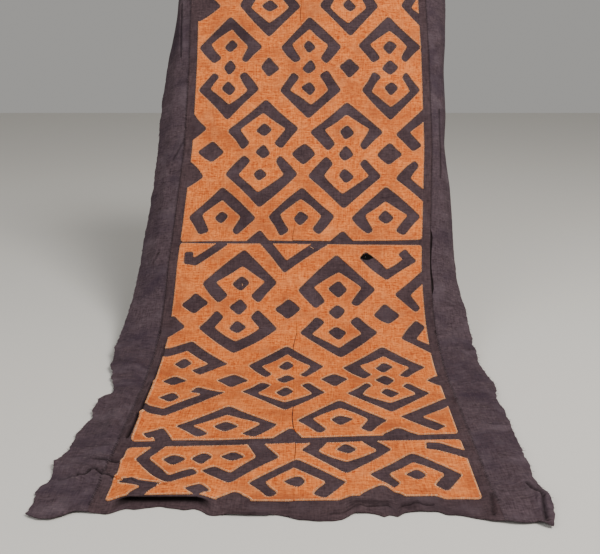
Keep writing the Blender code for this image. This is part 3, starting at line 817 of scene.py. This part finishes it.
# Ground cloth
ground = {
    "columns": 96, "lineStep": 0.0075, "outlineStep": 0.004, "nick": 0.0010, "nickSize": 0.008,
    "hemRoll": 0.0012, "hemReach": 0.004,
    "turning": 0.0070, "turningStart": 0.680, "turningRise": 0.060, "turningDrop": 0.0022,
    # rows of points on both sides of the turning's fold, from a little above its start
    "beforeSeam": 0.0006, "beyondSeam": 0.0007, "seamRowsStart": 0.020,
    # the painted shade inside the hem's tuck: its place and reach, and how it follows the tuck's fullness
    "tuckDepth": 0.0245, "tuckBand": 0.0120, "tuckGain": 1.7, "tuckFrom": 0.5,
    "holeSides": 22,
    "burnHoles": [(0.1560, 0.9030, 0.0012, 0.0007)],
}


def hemAlong(across):
    # the hem's place along the cloth, with its small nicks
    nick = softNoise(across, np.zeros_like(across), ground["nickSize"], 5) * ground["nick"]
    return read(hem, across, "inset") + nick


def sideOutline(inner, outer):
    # closed outline between two side lines, each giving across at a place along
    bottom = np.array([float(line(hemAlong(line(np.array(0.0))))) for line in (inner, outer)])
    count = max(2, round(abs(bottom[1] - bottom[0]) / ground["outlineStep"]))
    across = np.linspace(bottom[0], bottom[1], count + 1)
    hemLine = np.column_stack([across, hemAlong(across)])
    end = np.array(cloth["length"])
    top = np.linspace(float(outer(end)), float(inner(end)), count + 1)
    topLine = np.column_stack([top, np.full(len(top), cloth["length"])])

    def sideLine(line, start):
        lines = crossLines(start + 0.001, cloth["length"] - 0.001, ground["outlineStep"])
        return np.column_stack([line(lines), lines])

    rising = sideLine(outer, hemLine[-1, 1])
    falling = sideLine(inner, hemLine[0, 1])[::-1]
    return np.concatenate([hemLine, rising, topLine, falling])


def sheetTop(flat, fromEdge):
    # the lower hem is turned under once, so it stands a little higher
    overHem = flat[:, 1] - hemAlong(flat[:, 0])
    return ground["hemRoll"] * np.exp(-(overHem / ground["hemReach"]) ** 2) * (fromEdge > 0)


def sheetBottom(flat, fromEdge):
    return np.full(len(flat), -cloth["groundThick"])


def aboveHem(points):
    # the points that lie inside the hem's line
    return points[points[:, 1] > hemAlong(points[:, 0]) + cloth["hemMargin"]]


def turning(along):
    # the ground's seam allowance, which reaches under the borders where the cloth hangs
    return ground["turning"] * softStep((along - ground["turningStart"]) / ground["turningRise"])


def groundTop(flat, fromEdge):
    under = softStep((np.abs(flat[:, 0]) - cloth["seamAcross"] + 0.0004) / 0.0010)
    return sheetTop(flat, fromEdge) - ground["turningDrop"] * under * (turning(flat[:, 1]) > 0)


def groundBottom(flat, fromEdge):
    return groundTop(flat, np.zeros(len(flat))) - cloth["groundThick"]


def groundShade(flat):
    # painted shade on the turning under the borders and inside the hem's tuck
    across, along = np.abs(flat[:, 0]), flat[:, 1]
    under = softStep((across - cloth["seamAcross"]) / 0.0008)
    inTuck = softStep(tuckTurn(flat[:, 0]) * ground["tuckGain"] - ground["tuckFrom"])
    inTuck *= np.exp(-((along - ground["tuckDepth"]) / ground["tuckBand"]) ** 4)
    return np.maximum(under, inTuck)


def makeGround():
    seam = cloth["seamAcross"]
    outline = sideOutline(lambda along: -seam - turning(along), lambda along: seam + turning(along))
    holes = []
    for x, y, halfX, halfY in ground["burnHoles"]:
        turns = np.linspace(0, math.tau, ground["holeSides"], endpoint=False)
        radius = 1 + 0.45 * softNoise(np.cos(turns) * 3, np.sin(turns) * 3, 1.0, 9)
        ring = [x + halfX * radius * np.cos(turns), y + halfY * radius * np.sin(turns)]
        holes.append(np.column_stack(ring))
    columns = np.linspace(-seam, seam, ground["columns"] + 1)[1:-1]
    last = cloth["length"] - cloth["topMargin"]
    free = aboveHem(gridPoints(columns, crossLines(cloth["pastHem"], last, ground["lineStep"])))
    beyond, before = seam + ground["beyondSeam"], seam - ground["beforeSeam"]
    seamLines = crossLines(ground["turningStart"] + ground["seamRowsStart"], last, ground["lineStep"])
    edges = gridPoints([-beyond, -before, before, beyond], seamLines)
    folded = clearOf(creasePoints(), outline, smallCreases["clearOfEdge"])
    flat, triangles = triangulate(outline, holes, np.concatenate([free, edges, folded]))
    piece, _ = clothPiece("groundCloth", flat, triangles, groundTop, groundBottom, groundRaffia,
                          shade=groundShade)
    declare(piece, ["ground_cloth"])
    return piece


groundPiece = makeGround()
print("ground cloth made:", len(groundPiece.data.polygons), "faces")

# Side borders: strips sewn to the ground, their outer edges worn and frayed
border = {
    "columns": 22, "lineStep": 0.0050,
    "nick": 0.0017, "nickSize": 0.0075, "wear": 0.0036, "wearSize": 0.030,
    "slitStart": 0.795, "slitEnd": 0.980, "slitWidth": 0.0052,
    "slitEase": 0.14, "slitWave": 0.25, "slitWaves": 9,
    "seamRoll": 0.0003, "seamReach": 0.0030,
}


def makeBorder(way, name, node):
    values = leftBorder if way < 0 else rightBorder
    seam = cloth["seamAcross"] + cloth["gap"]

    def inner(along):
        # a stretch of the right border's seam has come open
        share = (along - border["slitStart"]) / (border["slitEnd"] - border["slitStart"])
        wave = 1 - border["slitWave"] + border["slitWave"] * np.sin(share * border["slitWaves"])
        gape = softStep(np.minimum(share, 1 - share) / border["slitEase"]) * wave * (way > 0)
        return way * (seam + border["slitWidth"] * gape)

    def outer(along):
        spot = np.zeros_like(along) + way
        nick = softNoise(spot, along, border["nickSize"], 21) * border["nick"]
        wear = softNoise(spot, along, border["wearSize"], 22) * border["wear"]
        return way * (cloth["fieldHalf"] + read(values, along, "width") + nick + wear)

    outline = sideOutline(inner, outer)
    lines = crossLines(cloth["pastHem"], cloth["length"] - cloth["topMargin"], border["lineStep"])
    rows = [np.column_stack([
        np.linspace(inner(line), outer(line), border["columns"] + 1)[1:-1],
        np.full(border["columns"] - 1, line),
    ]) for line in lines]
    free = aboveHem(np.concatenate(rows))
    folded = clearOf(creasePoints(), outline, smallCreases["clearOfEdge"])
    flat, triangles = triangulate(outline, [], np.concatenate([free, folded]))

    def top(flat, fromEdge):
        # the seam's turning stands up beside the ground
        overSeam = np.abs(flat[:, 0]) - seam
        roll = border["seamRoll"] * np.exp(-(overSeam / border["seamReach"]) ** 2) * (fromEdge > 0)
        return sheetTop(flat, fromEdge) + roll

    piece, _ = clothPiece(name, flat, triangles, top, sheetBottom, borderRaffia)
    declare(piece, [node])
    return outer


leftOuter = makeBorder(-1, "borderLeft", "border_left")
rightOuter = makeBorder(1, "borderRight", "border_right")
print("side borders made")

# The motifs, much as in the solids: one side of a hook window, then rows of motifs
motif = {
    "hookSide": [(0.000, 0.086), (0.086, 0.001), (0.046, -0.049), (0.031, -0.035), (0.056, 0.004),
                 (0.000, 0.051)],
    "hookOffset": 0.061, "sideOffset": 0.049, "largeLozenge": 0.029,
    "smallLozenge": {"top": (0.0184, 0.0198), "middle": (0.0195, 0.0222), "bottom": (0.0180, 0.0180)},
    "upperArm": 0.034,      # the upper arms of side hooks run out over the panel's upper edge
    "armStart": 0.45,       # and start this share of the hook's offset above its middle
    # by corner, how far the left side hook's outer corners are moved
    "leftHookMoves": {0: (0.016, 0.000), 9: (0.005, -0.004)},
    "wobble": 0.0042, "hookCorner": 0.0075, "lozengeCorner": 0.0078, "bandCorner": 0.0050,
    "mitreLimit": 0.6,
}
motifRows = [
    # panel, kind, along, tilt, width, height, centres
    ("top", "pairs", 1.672, 0.00, 0.92, 1.08, (-0.102, 0.106, 0.322)),
    ("top", "pairs", 1.423, 0.00, 0.90, 1.00, (-0.204, 0.002, 0.210)),
    ("top", "pairs", 1.181, -0.02, 1.03, 1.00, (-0.113, 0.096, 0.311)),
    ("top", "upper", 0.948, 0.00, 0.93, 0.96, (-0.200, -0.005, 0.200)),
    ("top", "lozenge", 1.607, 0.00, 1.75, 1.75, (-0.285,)),
    ("top", "lozenge", 1.184, 0.00, 1.10, 1.10, (-0.240,)),
    ("top", "lozenge", 1.252, 0.00, 1.35, 1.35, (-0.294,)),
    ("top", "lozenge", 1.117, 0.00, 1.35, 1.35, (-0.297,)),
    ("top", "lozenge", 0.940, 0.00, 1.05, 1.15, (-0.103, 0.095)),
    ("middle", "pairs", 0.760, -0.07, 1.02, 1.02, (-0.138, 0.090, 0.316)),
    ("middle", "pairs", 0.503, -0.02, 0.96, 0.98, (-0.024, 0.183, 0.400)),
    ("middle", "upper", 0.250, 0.09, 1.08, 0.96, (-0.127,)),
    ("middle", "upper", 0.252, 0.09, 0.98, 0.98, (0.084,)),
    ("middle", "lozenge", 0.776, 0.00, 1.05, 1.05, (-0.238,)),
    ("middle", "lozenge", 0.708, 0.00, 1.20, 1.20, (-0.288,)),
    ("middle", "lozenge", 0.577, 0.00, 0.70, 0.78, (-0.245,)),
    ("middle", "lozenge", 0.496, 0.00, 0.76, 0.84, (-0.251,)),
    ("middle", "lozenge", 0.496, 0.00, 1.02, 1.02, (-0.132,)),
    ("middle", "lozenge", 0.418, 0.00, 0.68, 0.76, (-0.248,)),
    ("middle", "lozenge", 0.248, 0.00, 0.95, 1.48, (-0.013,)),
    ("middle", "lozenge", 0.258, 0.00, 1.30, 1.15, (0.187,)),
    ("bottom", "side", 0.190, 0.08, 0.90, 1.00, (-0.156,)),
    ("bottom", "lower", 0.263, 0.00, 0.90, 0.92, (0.088,)),
    ("bottom", "upper", 0.042, 0.06, 0.90, 0.92, (0.002,)),
    ("bottom", "upper", 0.052, 0.06, 0.90, 0.92, (0.198,)),
    ("bottom", "lozenge", 0.065, 0.00, 0.72, 0.72, (-0.151,)),
    ("bottom", "lozenge", 0.044, 0.00, 0.95, 1.00, (-0.094,)),
    ("bottom", "lozenge", 0.044, 0.00, 1.30, 1.35, (0.136,)),
]
oddArms = [
    # panel, width, bent line
    ("middle", 0.018, ((-0.266, 0.914), (-0.265, 0.893), (-0.248, 0.890), (-0.182, 0.942))),
    ("middle", 0.021, ((-0.092, 0.948), (-0.033, 0.876), (0.058, 0.944))),
    ("middle", 0.020, ((0.150, 0.907), (0.207, 0.855), (0.262, 0.893), (0.243, 0.915))),
    ("middle", 0.027, ((-0.300, 0.612), (-0.238, 0.645), (-0.169, 0.575), (-0.212, 0.536))),
    ("middle", 0.026, ((-0.206, 0.455), (-0.166, 0.437), (-0.251, 0.352), (-0.300, 0.372))),
    ("middle", 0.026, ((0.300, 0.405), (0.214, 0.334), (0.262, 0.286))),
    ("middle", 0.023, ((-0.267, 0.258), (-0.247, 0.271), (-0.222, 0.214))),
    ("bottom", 0.021, ((-0.274, 0.101), (-0.226, 0.072), (-0.250, 0.030))),
    ("bottom", 0.025, ((0.228, 0.222), (0.246, 0.220), (0.300, 0.186))),
]


def stray(hand, outline):
    # each corner a little off, as cut by hand
    moved = []
    for across, along in outline:
        moved.append((across + hand.uniform(-1, 1) * motif["wobble"],
                      along + hand.uniform(-1, 1) * motif["wobble"]))
    return moved


def turned(corner, facing):
    across, along = corner
    upright = (across, along if facing == "up" else -along)
    sideways = (along if facing == "right" else -along, across)
    return upright if facing in ("up", "down") else sideways


def hookCorners(hand, across, along, width, height, facing):
    otherSide = [(-x, y) for x, y in motif["hookSide"][-2:0:-1]]
    outline = []
    for corner in motif["hookSide"] + otherSide:
        x, y = turned(corner, facing)
        outline.append((across + x * width, along + y * height))
    return stray(hand, outline)


def lozengeCorners(hand, across, along, halfAcross, halfAlong):
    corners = [(0, halfAlong), (halfAcross, 0), (0, -halfAlong), (-halfAcross, 0)]
    return stray(hand, [(across + x, along + y) for x, y in corners])


def armCorners(line, width):
    # outline of an arm of even width along a bent line, with mitred bends
    points = [Vector(point) for point in line]
    runs = [(after - before).normalized() for before, after in zip(points, points[1:])]
    left, right = [], []
    for index, point in enumerate(points):
        before = runs[max(index - 1, 0)]
        after = runs[min(index, len(runs) - 1)]
        middle = (before + after).normalized()
        reach = width / 2 / max(middle.dot(after), motif["mitreLimit"])
        side = Vector((-middle.y, middle.x)) * reach
        left.append(tuple(point + side))
        right.append(tuple(point - side))
    return left + right[::-1]


def panelWindows(hand, panel):
    # corners and corner radius of every window of a panel
    windows = []

    def addHook(across, along, width, height, facing):
        windows.append((hookCorners(hand, across, along, width, height, facing), motif["hookCorner"]))
        addLozenge(across, along, *motif["smallLozenge"][panel])

    def addLozenge(across, along, halfAcross, halfAlong):
        corners = lozengeCorners(hand, across, along, halfAcross, halfAlong)
        windows.append((corners, motif["lozengeCorner"]))

    for name, kind, rowAlong, tilt, width, height, centres in motifRows:
        if name != panel:
            continue
        large = (motif["largeLozenge"] * width, motif["largeLozenge"] * height)
        offset = motif["hookOffset"] * height
        for across in centres:
            along = rowAlong + tilt * across
            if kind in ("pairs", "upper"):
                addHook(across, along + offset, width, height, "up")
            if kind in ("pairs", "lower"):
                addHook(across, along - offset, width, height, "down")
            if kind == "side":
                for facing, way in (("left", -1), ("right", 1)):
                    shift = way * motif["sideOffset"]
                    addHook(across + shift, along + tilt * shift, width, height, facing)
                    armFrom = along + motif["sideOffset"] * motif["armStart"]
                    raised = [(x, y + motif["upperArm"] * (y > armFrom)) for x, y in windows[-2][0]]
                    if facing == "left":
                        for corner, (moveAcross, moveAlong) in motif["leftHookMoves"].items():
                            x, y = raised[corner]
                            raised[corner] = (x + moveAcross, y + moveAlong)
                    windows[-2] = (raised, motif["hookCorner"])
            if kind in ("pairs", "side"):
                addLozenge(across, along, *motif["smallLozenge"][panel])
            if kind == "lozenge":
                addLozenge(across, along, *large)
        if kind == "pairs":
            for left, right in zip(centres, centres[1:]):
                across = (left + right) / 2
                addLozenge(across, rowAlong + tilt * across, *large)
    for name, width, line in oddArms:
        if name == panel:
            windows.append((armCorners(line, width), motif["bandCorner"]))
    return windows


# Orange panels: where their edges meet the borders, and the middle line of their halves
panels = {
    "top": {"bottom": (0.9435, 0.947), "top": (1.682, 1.680), "centre": -0.018},
    "middle": {"bottom": (0.238, 0.268), "top": (0.9385, 0.932), "centre": -0.007},
    "bottom": {"bottom": (0.041, 0.050), "top": (0.213, 0.244), "centre": -0.001},
}
panelLook = {
    "edgeBow": 0.0015, "corner": 0.009, "gridStep": 0.0068,
    "clearOfEdge": 0.0050, "smallestPatch": 0.0004, "middleReach": 0.0022,
    "windowBow": 0.0020, "worn": 0.0018, "cornerSteps": 5,
    "edgeRows": (0.0015, 0.0042),       # rows of points beside every edge
    "pucker": 0.00035, "puckerSize": 0.009, "puckerReach": 0.010, "deepestPucker": -0.0002,
}
# the soft roll of a cut edge, which is turned under
edgeRoll = table("away lift", (0, -0.0004), (0.0015, 0.0007), (0.0040, 0.0002), (0.0075, 0.0))
# how the halves' middle line bends, and where it gapes
middleLine = table(
    "along shift gape",
    (0.00, 0.000, 0.0003), (0.17, 0.000, 0.0003), (0.18, 0.000, 0.0012), (0.225, 0.001, 0.0014),
    (0.24, 0.000, 0.0003), (0.27, 0.006, 0.0010), (0.29, 0.002, 0.0022), (0.33, -0.001, 0.0018),
    (0.39, 0.001, 0.0016), (0.41, 0.001, 0.0003), (0.59, -0.002, 0.0003), (0.61, -0.003, 0.0014),
    (0.64, -0.003, 0.0018), (0.67, 0.001, 0.0018), (0.695, 0.005, 0.0012), (0.71, 0.004, 0.0003),
    (0.93, -0.003, 0.0003), (0.95, -0.003, 0.0014), (0.965, -0.003, 0.0012), (0.99, 0.000, 0.0003),
    (1.55, 0.000, 0.0003), (1.56, -0.004, 0.0014), (1.60, -0.002, 0.0014), (1.62, 0.000, 0.0003),
    (1.71, 0.000, 0.0003),
)


def panelCorners(hand, panel, side):
    # one half's outline: five points of its lower edge, then five of its upper edge back
    half, centre = cloth["panelHalf"], panel["centre"]
    ends = (-half, centre) if side == "left" else (centre, half)
    steps = np.linspace(ends[0], ends[1], 5)
    outline = []
    for edge, places in ((panel["bottom"], steps), (panel["top"], steps[::-1])):
        for across in places:
            share = (across + half) / (2 * half)
            bow = hand.uniform(-panelLook["edgeBow"], panelLook["edgeBow"])
            outline.append((across, edge[0] + (edge[1] - edge[0]) * share + bow))
    return outline


def panelOutline(corners, centre, side):
    # the edges at the middle line follow its bends, and the outer corners are rounded
    way = -1 if side == "left" else 1
    lower, upper = (4, 5) if side == "left" else (0, 9)
    lines = np.linspace(corners[lower][1], corners[upper][1], 60)[1:-1]
    middle = centre + read(middleLine, lines, "shift") + way * read(middleLine, lines, "gape") / 2
    middle = [tuple(point) for point in np.column_stack([middle, lines])]
    if side == "left":
        chain = corners[:4] + [(middle[0][0], corners[4][1])] + middle + [(middle[-1][0], corners[5][1])]
        chain += corners[6:]
    else:
        chain = [(middle[0][0], corners[0][1])] + corners[1:9] + [(middle[-1][0], corners[9][1])]
        chain += middle[::-1]
    outer = {corners[0], corners[9]} if side == "left" else {corners[4], corners[5]}
    parts = []
    for before, here, after in zip(chain[-1:] + chain[:-1], chain, chain[1:] + chain[:1]):
        if here in outer:
            cut, steps = panelLook["corner"], panelLook["cornerSteps"]
            parts += cornerArc(Vector(before), Vector(here), Vector(after), cut, cut, steps)
        else:
            parts.append(Vector(here))
    outline = []
    for here, after in zip(parts, parts[1:] + parts[:1]):
        count = max(1, round((after - here).length / outlineLook["step"]))
        for index in range(count):
            outline.append(tuple(here.lerp(after, index / count)))
    return np.array(outline)


def panelTop(flat, fromEdge):
    # a roll along the cut edge, and the puckers that its stitches draw into the cloth
    roll = read(edgeRoll, fromEdge, "lift")
    pucker = softNoise(flat[:, 0], flat[:, 1], panelLook["puckerSize"], 31) * panelLook["pucker"]
    pucker = pucker * np.exp(-fromEdge / panelLook["puckerReach"]) * (fromEdge > 0)
    return cloth["gap"] + cloth["panelThick"] + roll + np.maximum(pucker, panelLook["deepestPucker"])


def panelBottom(flat, fromEdge):
    return np.full(len(flat), cloth["gap"])


def onMiddleLine(points, centre):
    fromLine = points[:, 0] - centre - read(middleLine, points[:, 1], "shift")
    return np.abs(fromLine) < panelLook["middleReach"]


# Overcast stitches: the thread comes up beside the edge, goes over it and into the panel
stitch = {
    "pitch": 0.0021, "halfWidth": 0.00046, "jitter": 0.22, "missing": 0.03,
    "sight": 0.002,         # to either side of a stitch, to find which way the edge runs
    "square": 0.6,          # an edge that crosses the middle line more squarely is stitched
    # inset from the edge, lean, lift, share of the width
    "stations": [(-0.0009, 0.0, 0.0001, 0.7), (0.0001, 0.0004, 0.0016, 1.0),
                 (0.0014, 0.0010, 0.0022, 1.0), (0.0026, 0.0014, 0.0010, 0.6)],
}
thread = np.random.default_rng(5)


def overcast(name, loops, centre):
    # stitches along the edges of a panel, other than its middle line
    paths = []
    for loop in loops:
        closed = np.concatenate([loop, loop[:1]])
        lengths = np.concatenate([[0], np.cumsum(np.linalg.norm(np.diff(closed, axis=0), axis=1))])
        places = np.arange(0, lengths[-1], stitch["pitch"])
        places = places + thread.uniform(-1, 1, len(places)) * stitch["jitter"] * stitch["pitch"]
        here, ahead, behind = [
            np.column_stack([np.interp(spots, lengths, closed[:, axis]) for axis in (0, 1)])
            for spots in (places, (places + stitch["sight"]) % lengths[-1],
                          (places - stitch["sight"]) % lengths[-1])]
        run = ahead - behind
        run /= np.maximum(np.linalg.norm(run, axis=1, keepdims=True), 1e-9)
        inward = np.stack([-run[:, 1], run[:, 0]], axis=1)
        long = 1 + thread.uniform(-1, 1, len(places))[:, None] * stitch["jitter"]
        slant = thread.uniform(0.5, 1.5, len(places))[:, None]
        path = []
        for inset, lean, lift, _ in stitch["stations"]:
            flat = here + inward * inset * long + run * lean * slant
            path.append(np.column_stack([flat, np.full(len(flat), lift + cloth["gap"])]))
        path = np.stack(path, axis=1)
        alongMiddle = onMiddleLine(here, centre) & (np.abs(run[:, 0]) < stitch["square"])
        keep = ~alongMiddle & (thread.random(len(places)) > stitch["missing"])
        paths.append(path[keep])
    paths = np.concatenate(paths)
    widths = np.array([station[3] for station in stitch["stations"]])[None] * stitch["halfWidth"]
    widths = widths * thread.uniform(0.8, 1.2, len(paths))[:, None]
    piece = threadPiece(name, paths, widths, thread.random(len(paths)), paleThread)
    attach(piece, "root")


def makePanels():
    hand = random.Random(7)
    for panelName, panel in panels.items():
        windows = [offsetPoints(rounded(corners, radius, panelLook["windowBow"]), panelLook["worn"])
                   for corners, radius in panelWindows(hand, panelName)]
        beside = [offsetPoints(window, away) for window in windows for away in panelLook["edgeRows"]]
        patches = 0
        for side in ("left", "right"):
            corners = panelCorners(hand, panel, side)
            outline = panelOutline(corners, panel["centre"], side)
            low, high = outline.min(axis=0), outline.max(axis=0)
            columns = np.arange(low[0], high[0], panelLook["gridStep"])
            free = gridPoints(columns, crossLines(low[1], high[1], panelLook["gridStep"]))
            inside = [offsetPoints(outline, -away) for away in panelLook["edgeRows"]]
            edges = np.concatenate([outline] + windows)
            free = clearOf(free, edges, panelLook["clearOfEdge"])
            folded = clearOf(creasePoints(), edges, smallCreases["clearOfEdge"])
            free = np.concatenate([free, folded] + beside + inside)
            flat, triangles = triangulate(outline, windows, free)
            parts = looseParts(triangles, len(flat))
            areas = {part: flatArea(flat, triangles[parts == part]) for part in np.unique(parts)}
            stitched = []
            for number, part in enumerate(sorted(areas, key=areas.get, reverse=True)):
                if areas[part] < panelLook["smallestPatch"]:
                    continue
                used, compact = np.unique(triangles[parts == part], return_inverse=True)
                partFlat, partTriangles = flat[used], compact.reshape(-1, 3)
                name = "panel%s%s" % (panelName.capitalize(), side.capitalize())
                node = "panel_%s_%s" % (panelName, side)
                if number:
                    patches += 1
                    name = "patch%s%d" % (panelName.capitalize(), patches)
                    node = "patch_%s_%d" % (panelName, patches)
                piece, loops = clothPiece(name, partFlat, partTriangles, panelTop, panelBottom, orangeRaffia,
                                          lambda points: onMiddleLine(points, panel["centre"]))
                declare(piece, [node])
                stitched += [partFlat[loop] for loop in loops]
            overcast("stitches%s%s" % (panelName.capitalize(), side.capitalize()), stitched, panel["centre"])


makePanels()
print("orange panels made")

# Two loose ends of stitching thread that lie on the cloth
looseEnds = {
    "lift": 0.0016, "halfWidth": 0.0005,
    "lines": [
        ((0.0230, 0.9285), (0.0262, 0.9262), (0.0290, 0.9250), (0.0312, 0.9226)),
        ((-0.1335, 0.8320), (-0.1322, 0.8298), (-0.1330, 0.8276), (-0.1318, 0.8256)),
    ],
}


def makeLooseEnds():
    paths = np.array([[(x, y, looseEnds["lift"]) for x, y in line] for line in looseEnds["lines"]])
    widths = np.full(paths.shape[:2], looseEnds["halfWidth"])
    piece = threadPiece("looseEnds", paths, widths, np.array([1.0, 0.8]), paleThread)
    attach(piece, "root")


makeLooseEnds()

# Sewing between the ground and the borders, in dark thread
seamSewing = {
    "pitch": 0.0050, "halfLength": 0.0028, "halfWidth": 0.0005, "lift": 0.0006, "jitter": 0.2,
    "stations": ((-1, -0.0004), (-0.5, 0.0003), (0.5, 0.0010), (1, 0.0002)),    # share, lift
}


def sewSeam(way, name):
    along = np.arange(0.03, cloth["length"] - 0.003, seamSewing["pitch"])
    along = along + thread.uniform(-1, 1, len(along)) * seamSewing["pitch"] * seamSewing["jitter"]
    if way > 0:
        along = along[(along < border["slitStart"]) | (along > border["slitEnd"])]
    paths = []
    for share, lift in seamSewing["stations"]:
        across = way * (cloth["seamAcross"] + share * seamSewing["halfLength"])
        lean = share * seamSewing["halfLength"] * 0.5
        paths.append(np.column_stack([np.full(len(along), across), along + lean,
                                      np.full(len(along), lift + seamSewing["lift"])]))
    paths = np.stack(paths, axis=1)
    widths = np.full(paths.shape[:2], seamSewing["halfWidth"])
    piece = threadPiece(name, paths, widths, thread.random(len(paths)), darkThread)
    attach(piece, "root")


sewSeam(-1, "seamThreadLeft")
sewSeam(1, "seamThreadRight")

# Frayed ends along the borders' outer edges
fray = {
    "spacing": 0.0050, "shortest": 0.0015, "longest": 0.0070, "halfWidth": 0.00035, "stations": 4,
    "lean": 0.8, "bend": 0.6, "rooted": 0.0010, "drop": 0.0008, "lift": 0.0005,
}


def frayEdge(name, across, along, outward):
    # thread ends that stand out of an edge, each bent a little its own way
    count = len(across)
    length = fray["shortest"] + (fray["longest"] - fray["shortest"]) * thread.random(count) ** 3
    lean = thread.uniform(-fray["lean"], fray["lean"], count)
    bend = thread.uniform(-fray["bend"], fray["bend"], count)
    path = []
    for step in np.linspace(0, 1, fray["stations"]):
        sideways = lean * step + bend * step ** 2
        flat = np.column_stack([across, along]) + outward * (length * step - fray["rooted"])[:, None]
        flat += np.column_stack([-outward[:, 1], outward[:, 0]]) * (length * sideways)[:, None]
        path.append(np.column_stack([flat, fray["lift"] * step * thread.random(count) - fray["drop"]]))
    paths = np.stack(path, axis=1)
    widths = np.full(paths.shape[:2], fray["halfWidth"]) * np.linspace(1, 0.5, fray["stations"])
    piece = threadPiece(name, paths, widths, thread.random(count), darkThread)
    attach(piece, "root")


for way, outer, name in ((-1, leftOuter, "frayLeft"), (1, rightOuter, "frayRight")):
    along = np.arange(0.02, cloth["length"] - 0.01, fray["spacing"])
    along = along + thread.uniform(-1, 1, len(along)) * fray["spacing"] * 0.5
    outward = np.column_stack([np.full(len(along), float(way)), np.zeros(len(along))])
    frayEdge(name, outer(along), along, outward)
print("seams and frayed edges made")

# Studio: a pale floor, soft lights and the photograph's viewing angle
studio = {
    "floor": 9.0, "floorGap": 0.0003, "floorColour": "#d9d6d0", "worldColour": "#e6e4e0",
    "cameraPlace": (-0.021, -2.4146, -0.1232), "cameraTilt": 73.2, "lens": 51.0, "sensor": 36.0,
    "worldStrength": 0.45,
}
lights = [
    # name, place, aimed at, size, power, colour
    ("keyLight", (1.5, -2.1, 2.0), (0.0, -0.6, -0.5), 1.4, 112.0, (1.0, 0.98, 0.95)),
    ("fillLight", (-2.2, -2.4, 1.0), (0.0, -0.6, -0.5), 2.2, 30.0, (0.96, 0.98, 1.0)),
]


def makeStudio():
    level = cadBox[0].z - studio["floorGap"]
    bpy.ops.mesh.primitive_plane_add(size=studio["floor"], location=(0, 0, level))
    floor = bpy.context.object
    floor.name = "floor"
    paper = bpy.data.materials.new("matt pale floor")
    paper.use_nodes = True
    shader = paper.node_tree.nodes["Principled BSDF"]
    shader.inputs["Base Color"].default_value = linear(studio["floorColour"])
    shader.inputs["Roughness"].default_value = 0.9
    floor.data.materials.append(paper)
    for name, spot, aim, size, power, colour in lights:
        data = bpy.data.lights.new(name, "AREA")
        data.size = size
        data.energy = power
        data.color = colour
        lamp = bpy.data.objects.new(name, data)
        lamp.location = spot
        lamp.rotation_euler = (Vector(aim) - Vector(spot)).to_track_quat("-Z", "Y").to_euler()
        bpy.context.scene.collection.objects.link(lamp)
    world = bpy.data.worlds.new("studio")
    world.use_nodes = True
    background = world.node_tree.nodes["Background"]
    background.inputs["Color"].default_value = linear(studio["worldColour"])
    background.inputs["Strength"].default_value = studio["worldStrength"]
    bpy.context.scene.world = world
    data = bpy.data.cameras.new("camera")
    data.lens = studio["lens"]
    data.sensor_width = studio["sensor"]
    camera = bpy.data.objects.new("camera", data)
    camera.location = studio["cameraPlace"]
    camera.rotation_euler = (math.radians(studio["cameraTilt"]), 0, 0)
    bpy.context.scene.collection.objects.link(camera)
    bpy.context.scene.camera = camera


makeStudio()
print("studio made")
